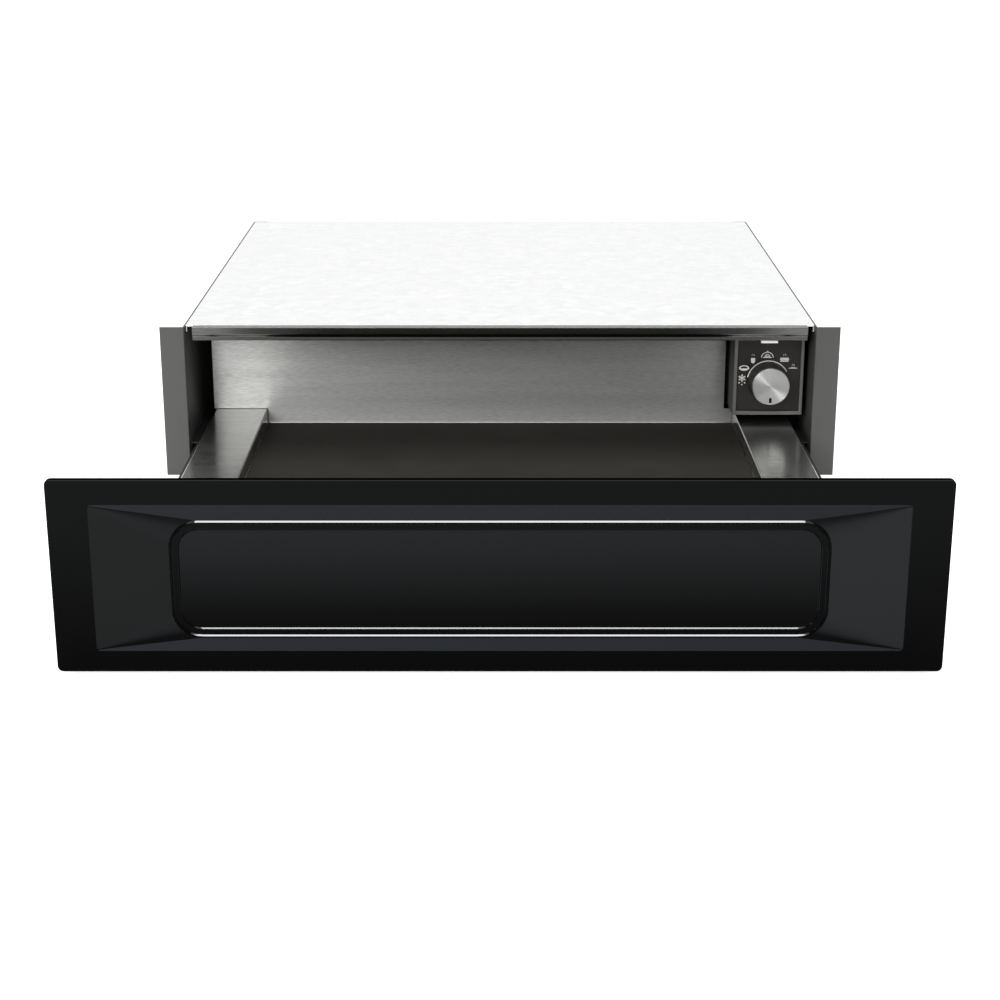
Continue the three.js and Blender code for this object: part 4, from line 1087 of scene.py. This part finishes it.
@dataclass
class FrontPanel:
    """The pressed and enamelled front with its back plate, stiffener and buffers."""

    panel_x: Span = (-298.5, 298.5)
    panel_z: Span = (1.6, 137.6)
    face: float = -705.3
    back: float = -683.3
    rim_depth: float = 6.0
    rim_taper: float = 2.1
    rim_round: float = 0.7
    rim_back_round: float = 0.4
    body_inset: float = 7.5
    skin: float = 1.2
    corner: float = 4.0
    mouth_x: Span = (-271.0, 271.0)
    mouth_z: Span = (17.3, 120.0)
    mouth_corner: float = 1.8
    mouth_round: float = 0.5
    ring_x: Span = (-219.8, 219.8)
    ring_z: Span = (25.2, 108.4)
    ring_corner: float = 20.0
    recess: float = 3.5
    ring_width: float = 7.0
    ring_height: float = 0.95
    ring_round: float = 0.12
    band_height: float = 0.05
    band_round: float = 0.15
    plate_sink: float = 0.8
    outer_wall: float = 1.07
    ridge_top: float = 0.25
    ridge_wall: float = 0.95
    inner_wall: float = 0.9
    edge_start: float = 0.9
    edge_end: float = 4.4
    edge_sunk: float = 0.2
    edge_proud: float = 0.02

    def build(self) -> Workpiece:
        """Shapes the enamelled shell from its back, over the rim and recess, to the centre.

        Returns:
            The workpiece.
        """
        piece = Workpiece("enamelled_front")
        panel = (self.panel_x, self.panel_z)
        mouth = (self.mouth_x, self.mouth_z)
        ring = (self.ring_x, self.ring_z)
        inner = self.body_inset + self.skin
        inner_corner = self.corner - self.skin
        rim_back = self.face + self.rim_depth
        floor = self.face + self.recess
        plate = floor + self.plate_sink
        ridge = floor - self.ring_height
        band = floor - self.band_height
        ridge_end = self.outer_wall + self.ridge_top
        cap = piece.outline(*panel, plate + self.skin, inner_corner, inner)
        loops = [list(cap.edges)]
        for spans, y, radius, inset in (
            (panel, self.back, inner_corner, inner),
            (panel, self.back, self.corner, self.body_inset),
            (panel, rim_back, self.corner, self.body_inset),
            (panel, rim_back, self.corner - self.rim_taper, self.rim_taper),
            (panel, self.face, self.corner, 0.0),
            (mouth, self.face, self.mouth_corner, 0.0),
            (ring, floor, self.ring_corner, 0.0),
            (ring, ridge, self.ring_corner - self.outer_wall, self.outer_wall),
            (ring, ridge, self.ring_corner - ridge_end, ridge_end),
        ):
            loops.append(piece.loop(piece.outline(*spans, y, radius, inset)))
        for inset, y in (
            (ridge_end + self.ridge_wall, band),
            (self.ring_width - self.inner_wall, band),
            (self.ring_width, plate),
        ):
            loops.append(piece.loop(piece.outline(*ring, y, self.ring_corner - inset, inset)))
        piece.bridge(loops)
        bmesh.ops.contextual_create(piece.bm, geom=loops[-1])
        rim_behind, rim_front, mouth_edge, ring_foot, _, _, band_out, band_in, well = loops[4:]
        for edges, width, steps in (
            (rim_front, self.rim_round, 3),
            (rim_behind, self.rim_back_round, 2),
            (mouth_edge, self.mouth_round, 3),
            (ring_foot, self.ring_round, 2),
            (band_out, self.ring_round, 2),
            (band_in, self.band_round, 2),
            (well, self.ring_round, 2),
        ):
            piece.bevel(edges, width, steps)
        return piece

    def build_edge(self) -> Workpiece:
        """Shapes the band behind the rim's face, which carries a dead-black line of painted shade.

        Returns:
            The workpiece.
        """
        piece = Workpiece("painted_shade_edge_band")
        start = self.face + self.edge_start
        end = self.face + self.edge_end
        slope = self.rim_taper / self.rim_depth
        loops = []
        for inset, y in (
            (self.edge_start * slope + self.edge_sunk, start),
            (self.edge_proud, start),
            (self.edge_proud, end),
            (self.edge_end * slope + self.edge_sunk, end),
        ):
            face = piece.outline(self.panel_x, self.panel_z, y, self.corner - inset, inset)
            loops.append(piece.loop(face))
        piece.bridge([*loops, loops[0]])
        return piece

    def dress(self) -> None:
        """Builds the front and everything that is fixed behind it."""
        self.build().finish(ENAMEL, Body.DRAWER, ["front_panel"])
        self.build_edge().finish(EDGE_PAINTED_SHADE, Body.DRAWER)
        for node in ("panel_back_plate", "panel_stiffener"):
            trimmed(node, ZINC, Body.DRAWER, edge=0.2)
        for side in Side:
            for level in ("lower", "upper"):
                trimmed(f"{side.word}_{level}_buffer", BUFFER_RUBBER, Body.DRAWER, edge=0.4)


# ---- The tray -----------------------------------------------------------------------------------


@dataclass
class Tray:
    """The stainless tray: two side profiles, front and rear wall, floor and mat."""

    half: float = 261.6
    floor_half: float = 214.1
    ledge: float = 41.8
    drop: float = 10.0
    foot_level: float = 26.3
    foot: float = 14.0
    front: float = -681.2
    rear: float = -190.6
    sheet: float = 1.0
    bend: float = 1.3
    mat_x: Span = (-213.5, 213.5)
    mat_y: Span = (-679.6, -192.3)
    mat_z: Span = (27.9, 29.1)
    mat_edge: float = 0.4
    cove: float = 1.5
    cove_foot: float = 2.0
    cove_top: float = 0.3
    cove_inlet: float = 0.1
    cove_left: float = -212.5
    cove_right: float = 206.2

    def build_side(self, side: Side) -> Workpiece:
        """Folds one side profile.

        Args:
            side: which side.

        Returns:
            The workpiece.
        """
        piece = Workpiece(f"{side.word}_ledge_profile")
        points = (
            (self.half, self.drop),
            (self.half, self.ledge),
            (self.floor_half, self.ledge),
            (self.floor_half, self.foot_level),
            (self.floor_half - self.foot, self.foot_level),
        )
        profile = [(x * side.value, z) for x, z in points]
        thickness = self.sheet * side.value
        piece.fold(profile, Axis.Y, (self.front, self.rear), thickness, self.bend)
        piece.lay_grain(Axis.X)
        return piece

    def build_mat(self) -> Workpiece:
        """Cuts the mat with soft edges.

        Returns:
            The workpiece.
        """
        piece = Workpiece("rubber_mat")
        piece.block(self.mat_x, self.mat_y, self.mat_z, self.mat_edge)
        return piece

    def build_cove(self) -> Workpiece:
        """Shapes the bright cove where the floor meets the rear wall.

        Returns:
            The workpiece.
        """
        piece = Workpiece("rear_floor_cove")
        z = self.mat_z[0]
        y = self.rear + self.cove_inlet
        high = z + self.cove
        section = ((y - self.cove_foot, z), (y, z), (y, high), (y - self.cove_top, high))
        corners = [piece.bm.verts.new((self.cove_left, u, v)) for u, v in section]
        face = piece.bm.faces.new(corners)
        piece.pull([face], Vector((self.cove_right - self.cove_left, 0.0, 0.0)))
        piece.lay_grain(Axis.X)
        return piece

    def dress(self) -> None:
        """Builds the tray and what is fixed to it."""
        for side in Side:
            node = f"{side.word}_tray_side"
            self.build_side(side).finish(STAINLESS_SIDE, Body.DRAWER, [node])
            trimmed(f"{side.word}_front_bracket", ZINC, Body.DRAWER)
            for number in (1, 2):
                trimmed(f"{side.word}_front_screw_{number}", SCREW_STEEL, Body.DRAWER, edge=0.15)
        self.build_mat().finish(MAT_RUBBER, Body.DRAWER, ["anti_slip_mat"])
        self.build_cove().finish(STAINLESS, Body.DRAWER)
        for node in ("tray_rear_wall", "tray_front_wall", "tray_floor"):
            trimmed(node, STAINLESS, Body.DRAWER, edge=0.2, grain=Axis.X)
        trimmed("latch_striker", ZINC, Body.DRAWER, edge=0.2)


# ---- The carcass --------------------------------------------------------------------------------


@dataclass
class Carcass:
    """The sheet-metal case: side panels with flanges, base, top, rear and the top rail."""

    rail_half: float = 268.9
    front: float = -260.0
    top: float = 135.0
    rail_face: float = 6.9
    rail_step: float = 1.6
    rail_lip: float = 3.7
    rail_lean: float = 0.6
    rail_shelf: float = 12.0
    rail_depth: float = 8.0
    rail_bend: float = 0.9
    sheet: float = 1.2
    side_bend: float = 0.8
    inner: float = 276.0
    flange: float = 297.5
    flange_return: float = 8.0
    relief: float = 4.0
    rear: float = 260.0
    rear_lip: float = 262.0
    tolerance: float = 0.1

    def build_rail(self) -> Workpiece:
        """Folds the rail across the top of the opening.

        Returns:
            The workpiece.
        """
        piece = Workpiece("folded_top_rail")
        face_low = self.top - self.rail_face
        lip = self.front + self.rail_step
        lip_low = face_low - self.rail_step - self.rail_lip
        points = (
            (self.front + self.rail_depth, self.top),
            (self.front, self.top),
            (self.front, face_low),
            (lip, face_low - self.rail_step),
            (lip - self.rail_lean, lip_low),
            (lip + self.rail_shelf, lip_low),
        )
        span = (-self.rail_half, self.rail_half)
        piece.fold(points, Axis.X, span, self.sheet, self.rail_bend)
        piece.lay_grain(Axis.X)
        return piece

    def build_side(self, side: Side) -> Workpiece:
        """Folds a side panel with its flange, the flange's return and the rear lip.

        Args:
            side: which side.

        Returns:
            The workpiece.
        """
        piece = Workpiece(f"folded_{side.word}_side")
        points = (
            (self.rear_lip, self.rear - self.sheet),
            (self.inner, self.rear - self.sheet),
            (self.inner, self.front),
            (self.flange, self.front),
            (self.flange, self.front + self.flange_return),
        )
        profile = [(x * side.value, y) for x, y in points]
        thickness = self.sheet * side.value
        piece.fold(profile, Axis.Z, (0.0, self.top), thickness, self.side_bend)
        self.relieve(piece)
        return piece

    def relieve(self, piece: Workpiece) -> None:
        """Slants both ends of the flange's return, so its corners stay behind the flange.

        Args:
            piece: the folded side.
        """
        rear = self.front + self.flange_return
        for level, move in ((self.top, -self.relief), (0.0, self.relief)):
            ends = [
                v
                for v in piece.bm.verts
                if abs(v.co.x) > self.flange - 2 * self.sheet
                and abs(v.co.y - rear) < self.tolerance
                and abs(v.co.z - level) < self.tolerance
            ]
            bmesh.ops.translate(piece.bm, vec=(0.0, 0.0, move), verts=ends)

    def dress(self) -> None:
        """Builds the case."""
        self.build_rail().finish(RAIL_STEEL, Body.CARCASS, ["top_front_rail"])
        for side in Side:
            node = f"{side.word}_side_panel"
            self.build_side(side).finish(CASE_PAINT, Body.CARCASS, [node])
        for node, zinc in (("base_panel", ZINC), ("rear_panel", ZINC), ("top_panel", ZINC_PAINTED_LIGHT)):
            trimmed(node, zinc, Body.CARCASS, edge=0.3)


@dataclass
class Runners:
    """The two telescopic runners with their screws."""

    edge: float = 0.4

    def dress(self) -> None:
        """Builds the three members of each runner and the screws."""
        for side, middle in ((Side.LEFT, Body.LEFT_RUNNER), (Side.RIGHT, Body.RIGHT_RUNNER)):
            members = (("outer", Body.CARCASS), ("middle", middle), ("inner", Body.DRAWER))
            for member, body in members:
                trimmed(f"{side.word}_runner_{member}", RUNNER_STEEL, body, self.edge)
            for number in (1, 2):
                trimmed(f"{side.word}_runner_screw_{number}", SCREW_STEEL, Body.CARCASS, edge=0.15)


# ---- The control box ----------------------------------------------------------------------------


@dataclass
class DialPrint:
    """The white print on the fascia: the dial's arc and six generic pictograms.

    Each pictogram is drawn round its own place with bars and bands, whose sizes are millimetres.
    """

    fascia_face: float = -229.7
    thickness: float = 0.08
    knob: Span = (240.1, 78.4)
    arc_radius: float = 18.3
    arc_width: float = 0.85
    arc_span: Span = (28.0, 168.5)
    stroke: float = 0.75
    hairline: float = 0.3
    segments_per_radian: int = 8
    least_segments: int = 6
    full_turn: float = math.tau - 0.01
    flake: Span = (216.8, 81.3)
    flake_fork: float = 2.3
    bun: Span = (218.3, 90.6)
    cup: Span = (226.0, 97.8)
    cloche: Span = (238.7, 100.2)
    dishes: Span = (254.1, 98.3)
    plate: Span = (262.1, 90.5)
    piece: Workpiece = field(default_factory=lambda: Workpiece("dial_symbols"))

    def bar(self, x: float, z: float, length: float, width: float, turn: float = 0.0) -> None:
        """Prints a bar.

        Args:
            x: its middle along X.
            z: its middle along Z.
            length: its length.
            width: its width.
            turn: its angle in degrees, counter-clockwise from the front.
        """
        made = self.piece.block(
            (-length / 2, length / 2), (-self.thickness, 0.0), (-width / 2, width / 2)
        )
        angle = Matrix.Rotation(-math.radians(turn), 3, "Y")
        bmesh.ops.rotate(self.piece.bm, matrix=angle, verts=made)
        bmesh.ops.translate(self.piece.bm, vec=(x, self.fascia_face, z), verts=made)

    def band(
        self,
        x: float,
        z: float,
        radius: float,
        width: float,
        span: Span = (0.0, 360.0),
        flatten: float = 1.0,
    ) -> None:
        """Prints an arc, a ring or, from radius 0, a disc.

        Args:
            x: its centre along X.
            z: its centre along Z.
            radius: the inner radius.
            width: the band's width.
            span: its first and last angle in degrees, counter-clockwise from the right.
            flatten: its height as a share of its width.
        """
        bm = self.piece.bm
        before = set(bm.verts)
        start, end = (math.radians(a) for a in span)
        arm = Vector((math.cos(start), 0.0, math.sin(start)))
        ends = [bm.verts.new(arm * r) for r in (radius, radius + width)]
        bmesh.ops.spin(
            bm,
            geom=[*ends, bm.edges.new(ends)],
            cent=(0, 0, 0),
            axis=(0, -1, 0),
            angle=end - start,
            steps=max(self.least_segments, int(abs(end - start) * self.segments_per_radian)),
            use_merge=end - start > self.full_turn,
            use_duplicate=False,
        )
        bmesh.ops.remove_doubles(bm, verts=self.piece.added(before), dist=WELD)
        faces = list({f for v in self.piece.added(before) for f in v.link_faces})
        self.piece.pull(faces, Vector((0.0, -self.thickness, 0.0)))
        made = self.piece.added(before)
        bmesh.ops.scale(bm, vec=(1.0, 1.0, flatten), verts=made)
        bmesh.ops.translate(bm, vec=(x, self.fascia_face, z), verts=made)

    def steam(self, x: float, z: float) -> None:
        """Prints two wisps of steam that lean together over a dish.

        Args:
            x: their middle along X.
            z: their foot along Z.
        """
        for side in (-1, 1):
            self.bar(x + side * 0.8, z + 1.5, length=1.8, width=self.hairline, turn=90 + side * 24)

    def print_flake(self) -> None:
        """Prints the snowflake for thawing, with three drops under it."""
        x, z = self.flake
        for turn in (30, 90, 150):
            self.bar(x, z, length=7.0, width=self.stroke, turn=turn)
        for turn in range(30, 390, 60):
            angle = math.radians(turn)
            arm = Vector((math.cos(angle), math.sin(angle))) * self.flake_fork
            for side in (-1, 1):
                self.bar(x + arm.x, z + arm.y, length=1.7, width=self.stroke, turn=turn + side * 55)
        for across, drop in ((-2.5, 4.3), (0.0, 5.9), (2.5, 4.3)):
            self.band(x + across, z - drop, radius=0.0, width=0.55)

    def print_bun(self) -> None:
        """Prints the bun for raising dough: a thick oval, filled below."""
        x, z = self.bun
        self.band(x, z, radius=3.2, width=1.35, flatten=0.55)
        self.band(x, z - 0.25, radius=0.0, width=3.3, span=(185, 355), flatten=0.5)

    def print_cup(self) -> None:
        """Prints the cup with its steam."""
        x, z = self.cup
        self.band(x, z - 0.6, radius=0.0, width=1.9, span=(180, 360), flatten=1.2)
        self.bar(x, z + 0.7, length=3.8, width=2.6)
        self.steam(x, z + 3.2)

    def print_cloche(self) -> None:
        """Prints the domed cover with a dish under it."""
        x, z = self.cloche
        self.band(x, z, radius=4.9, width=0.65, span=(0, 180), flatten=0.95)
        self.band(x, z + 5.6, radius=0.0, width=0.6)
        self.bar(x, z + 0.1, length=7.6, width=self.stroke)
        self.bar(x, z + 1.3, length=5.4, width=self.stroke)
        self.band(x, z + 1.4, radius=1.5, width=0.6, span=(10, 170), flatten=0.9)

    def print_dishes(self) -> None:
        """Prints the stack of dishes with its steam."""
        x, z = self.dishes
        for level, length in ((-1.3, 7.2), (0.0, 8.0), (1.3, 7.4)):
            self.bar(x, z + level, length=length, width=0.95)
        self.steam(x, z + 3.0)

    def print_plate(self) -> None:
        """Prints the flat plate with its steam."""
        x, z = self.plate
        self.bar(x, z, length=7.4, width=0.6)
        self.bar(x, z + 0.8, length=3.8, width=self.hairline)
        self.steam(x, z + 1.4)

    def build(self) -> Workpiece:
        """Prints everything.

        Returns:
            The workpiece.
        """
        self.band(*self.knob, self.arc_radius, self.arc_width, self.arc_span)
        self.print_flake()
        self.print_bun()
        self.print_cup()
        self.print_cloche()
        self.print_dishes()
        self.print_plate()
        return self.piece


@dataclass
class Knob:
    """The knob: a dark body that narrows to the front, with a spun disc let onto it."""

    x: float = 240.1
    z: float = 78.4
    back: float = -230.7
    body_front: float = -247.2
    disc_back: float = -247.5
    front: float = -250.0
    radius: float = 18.0
    nose: float = 17.0
    bush_room: float = 4.8
    relief: float = 3.0
    socket: float = 3.3
    socket_end: float = -243.0
    disc: float = 16.5
    mark_width: float = 2.3
    mark_proud: float = 0.06
    mark_depth: float = 0.4
    mark_edge: float = 0.04
    mark_from: float = 10.1
    mark_to: float = 14.7

    def build_skirt(self) -> Workpiece:
        """Turns the dark body.

        Returns:
            The workpiece.
        """
        piece = Workpiece("knob_body")
        step = self.back - self.relief
        # From the axis over the rounded nose and the rounded foot, and back up the bore.
        profile = (
            (0.0, self.body_front),
            (self.nose - 0.5, self.body_front),
            (self.nose - 0.1, self.body_front + 0.15),
            (self.nose, self.body_front + 0.6),
            (self.radius, self.back - 0.4),
            (self.radius - 0.3, self.back),
            (self.bush_room, self.back),
            (self.bush_room, step),
            (self.socket, step),
            (self.socket, self.socket_end),
            (0.0, self.socket_end),
        )
        piece.turned(profile, Vector((self.x, 0, self.z)), steps=72)
        return piece

    def build_disc(self) -> Workpiece:
        """Turns the metal disc.

        Returns:
            The workpiece.
        """
        piece = Workpiece("spun_knob_disc")
        # From the axis over the flat face, parted in three, and the rounded edge to the back.
        profile = (
            (0.0, self.front),
            (self.disc / 3, self.front),
            (self.disc * 2 / 3, self.front),
            (self.disc - 0.7, self.front),
            (self.disc - 0.4, self.front + 0.05),
            (self.disc - 0.12, self.front + 0.25),
            (self.disc, self.front + 0.6),
            (self.disc, self.disc_back - 0.2),
            (self.disc - 0.2, self.disc_back),
            (0.0, self.disc_back),
        )
        centre = Vector((self.x, 0, self.z))
        piece.turned(profile, centre, steps=96)
        piece.lay_rings(centre)
        return piece

    def build_pointer(self) -> Workpiece:
        """Fills the groove at the disc's edge.

        Returns:
            The workpiece.
        """
        piece = Workpiece("knob_pointer_mark")
        half = self.mark_width / 2
        piece.block(
            (self.x - half, self.x + half),
            (self.front - self.mark_proud, self.front + self.mark_depth),
            (self.z - self.mark_to, self.z - self.mark_from),
            self.mark_edge,
            1,
        )
        return piece

    def dress(self) -> None:
        """Builds the knob and its shaft."""
        self.build_skirt().finish(DARK_PLASTIC, Body.KNOB, ["knob_skirt"])
        # Spun aluminium: bright wedges that fan out from the disc's middle.
        centre = (self.x, self.z)
        metal = SpunAluminium(
            "spun_aluminium", "#a8a8a6", 0.42, 1.0, slot="knob_metal", centre=centre
        )
        self.build_disc().finish(metal, Body.KNOB, ["knob_cap"])
        self.build_pointer().finish(POINTER_INK, Body.KNOB)
        trimmed("knob_shaft", SCREW_STEEL, Body.KNOB, edge=0.2)


@dataclass
class ControlBox:
    """The box that hangs in the carcass: frame, fascia, lamp and thermostat."""

    x: Span = (209.1, 271.4)
    z: Span = (47.8, 133.5)
    face: float = -232.0
    frame_side: float = 3.0
    frame_low: float = 3.4
    frame_depth: float = 2.0
    frame_round: float = 0.45
    lens_x: float = 240.1
    lens_y: Span = (-230.2, -227.9)
    lens_z: float = 114.3
    lens_width: float = 14.8
    lens_height: float = 1.7
    lens_round: float = 0.35

    def build_frame(self) -> Workpiece:
        """Shapes the frame round the fascia.

        Returns:
            The workpiece.
        """
        piece = Workpiece("fascia_frame")
        outer = (self.x, self.z)
        inner = (
            (self.x[0] + self.frame_side, self.x[1] - self.frame_side),
            (self.z[0] + self.frame_low, self.z[1] - self.frame_side),
        )
        back = self.face + self.frame_depth
        loops = [
            piece.loop(piece.outline(*spans, y, 0.0))
            for spans, y in ((inner, back), (outer, back), (outer, self.face), (inner, self.face))
        ]
        piece.bridge([*loops, loops[0]])
        piece.bevel(piece.sharp_edges(), self.frame_round)
        return piece

    def build_lens(self) -> Workpiece:
        """Moulds the indicator's lens.

        Returns:
            The workpiece.
        """
        piece = Workpiece("lamp_lens")
        x, z = (
            (middle - size / 2, middle + size / 2)
            for middle, size in ((self.lens_x, self.lens_width), (self.lens_z, self.lens_height))
        )
        piece.block(x, self.lens_y, z, self.lens_round, 3)
        return piece

    def dress(self) -> None:
        """Builds the box and its front."""
        self.build_frame().finish(BEZEL, Body.CARCASS, ["control_bezel"])
        trimmed("control_box_housing", BOX_SHADED_PAINT, Body.CARCASS)
        trimmed("control_fascia", FASCIA, Body.CARCASS, edge=0.1)
        DialPrint().build().finish(INK, Body.CARCASS, weighted=False)
        self.build_lens().finish(LENS, Body.CARCASS, ["indicator_lens"])
        for node in ("indicator_lamp", "thermostat"):
            trimmed(node, PALE_PLASTIC, Body.CARCASS)


# ---- Heating, wiring and latch ------------------------------------------------------------------


@dataclass
class Heating:
    """The element under the tray with its reflector, supports and cut-out."""

    edge: float = 0.2

    def dress(self) -> None:
        """Builds the heating. The element's tube has no edge to round."""
        trimmed("heating_element", SHEATH, Body.CARCASS, edge=0.0)
        for node, finish in (
            ("heat_reflector", REFLECTOR),
            ("front_element_support", ZINC),
            ("rear_element_support", ZINC),
            ("thermal_cutout", DARK_PLASTIC),
        ):
            trimmed(node, finish, Body.CARCASS, self.edge)


@dataclass
class Connections:
    """The terminals at the rear right, the cable gland and the loom."""

    def dress(self) -> None:
        """Builds the connections. The loom has no edge to round."""
        trimmed("terminal_block", PALE_PLASTIC, Body.CARCASS)
        for node in ("terminal_cover", "cable_gland", "gland_nut"):
            trimmed(node, DARK_PLASTIC, Body.CARCASS)
        trimmed("wiring_loom", SLEEVE, Body.CARCASS, edge=0.0)


@dataclass
class PushLatch:
    """The push-to-open latch on the rear panel."""

    def dress(self) -> None:
        """Builds the latch, its plunger and its screws."""
        trimmed("latch_body", DARK_PLASTIC, Body.CARCASS, edge=0.4)
        trimmed("latch_plunger", PALE_PLASTIC, Body.PLUNGER, edge=0.2)
        for number in (1, 2):
            trimmed(f"latch_screw_{number}", SCREW_STEEL, Body.CARCASS, edge=0.1)


# ---- The studio ---------------------------------------------------------------------------------


@dataclass(frozen=True)
class Softbox:
    """A lamp with a broad, even face, in metres and watts."""

    name: str
    place: Place
    target: Place
    size: Span
    watts: float

    def hang(self) -> None:
        """Hangs the lamp at its place and turns it to its target."""
        data = bpy.data.lights.new(self.name, "AREA")
        data.shape = "RECTANGLE"
        data.size, data.size_y = self.size
        data.energy = self.watts
        light = bpy.data.objects.new(self.name, data)
        light.location = self.place
        aim = Vector(self.target) - Vector(self.place)
        light.rotation_euler = aim.to_track_quat("-Z", "Y").to_euler()
        bpy.context.scene.collection.objects.link(light)


@dataclass
class Studio:
    """Floor, light and camera, in metres."""

    lens: float = 69.48
    sensor: float = 36.0
    camera_place: Place = (0.0, -1.9053, 0.5214)
    pitch: float = 18.33
    sight: Span = (0.01, 100.0)
    floor_size: float = 14.0
    floor_level: float = -0.0004
    floor_colour: str = "#e6e6e6"
    floor_glow: float = 0.8
    ambient: float = 0.3
    # The strip's glint runs along the bead's walls. The others light the top and the front.
    lamps: tuple[Softbox, ...] = (
        Softbox("top_softbox", (0.0, 0.0, 1.4), (0.0, -0.7, 0.1), (1.4, 0.9), 18.0),
        Softbox("strip_softbox", (0.0, -1.414, 1.532), (0.0, -0.7, 0.1), (1.2, 0.18), 11.0),
        Softbox("front_softbox", (-1.4, -2.6, 1.2), (0.0, -0.4, 0.08), (1.3, 1.3), 46.0),
    )

    def camera(self) -> None:
        """Stands the camera where the photograph was taken from."""
        data = bpy.data.cameras.new("camera")
        data.lens = self.lens
        data.sensor_width = self.sensor
        data.dof.use_dof = False
        data.clip_start, data.clip_end = self.sight
        camera = bpy.data.objects.new("camera", data)
        camera.location = self.camera_place
        camera.rotation_euler = (math.radians(90 - self.pitch), 0.0, 0.0)
        bpy.context.scene.collection.objects.link(camera)
        bpy.context.scene.camera = camera

    def seen(self, tree: bpy.types.NodeTree) -> bpy.types.NodeSocket:
        """Tells the rays that see a background from those that light the object.

        Args:
            tree: the node tree.

        Returns:
            A socket that is 1 for camera, glossy and transmission rays.
        """
        path = add_node(tree, "ShaderNodeLightPath").outputs
        seen = path["Is Camera Ray"]
        for ray in ("Is Glossy Ray", "Is Transmission Ray"):
            either = {0: seen, 1: path[ray]}
            seen = add_node(tree, "ShaderNodeMath", either, operation="MAXIMUM").outputs[0]
        return seen

    def world(self) -> None:
        """Makes a white background over a soft grey light."""
        world = bpy.data.worlds.new("studio")
        world.use_nodes = True
        tree = world.node_tree
        tree.nodes.clear()
        light, seen = (
            add_node(tree, "ShaderNodeBackground", {"Color": WHITE, "Strength": strength})
            for strength in (self.ambient, 1.0)
        )
        inputs = {0: self.seen(tree), 1: light.outputs[0], 2: seen.outputs[0]}
        mix = add_node(tree, "ShaderNodeMixShader", inputs)
        add_node(tree, "ShaderNodeOutputWorld", {"Surface": mix.outputs[0]})
        bpy.context.scene.world = world

    def floor(self) -> None:
        """Lays the pale floor."""
        bm = bmesh.new()
        bmesh.ops.create_grid(bm, x_segments=1, y_segments=1, size=self.floor_size / 2)
        bmesh.ops.translate(bm, vec=(0, 0, self.floor_level), verts=bm.verts)
        mesh = bpy.data.meshes.new("floor")
        bm.to_mesh(mesh)
        bm.free()
        floor = bpy.data.objects.new("floor", mesh)
        bpy.context.scene.collection.objects.link(floor)
        # Matt pale card: it keeps the object's soft shadow, and glows to white where it is seen.
        material = bpy.data.materials.new("pale_studio_floor")
        material.use_nodes = True
        tree = material.node_tree
        tree.nodes.clear()
        diffuse = add_node(tree, "ShaderNodeBsdfDiffuse", {"Color": linear(self.floor_colour)})
        share = {0: self.seen(tree), 1: self.floor_glow}
        level = add_node(tree, "ShaderNodeMath", share, operation="MULTIPLY")
        glow = add_node(
            tree, "ShaderNodeEmission", {"Color": WHITE, "Strength": level.outputs[0]}
        )
        both = add_node(tree, "ShaderNodeAddShader", {0: diffuse.outputs[0], 1: glow.outputs[0]})
        add_node(tree, "ShaderNodeOutputMaterial", {"Surface": both.outputs[0]})
        mesh.materials.append(material)

    def dress(self) -> None:
        """Sets up the studio."""
        self.camera()
        self.world()
        self.floor()
        for lamp in self.lamps:
            lamp.hang()
        bpy.context.scene.view_settings.view_transform = "Standard"


def main() -> None:
    """Builds the studio and the drawer."""
    logging.basicConfig(level=logging.INFO, format="%(message)s")
    Studio().dress()
    for group in (
        FrontPanel(),
        Tray(),
        Carcass(),
        Runners(),
        ControlBox(),
        Knob(),
        Heating(),
        Connections(),
        PushLatch(),
    ):
        group.dress()


if __name__ == "__main__":
    main()
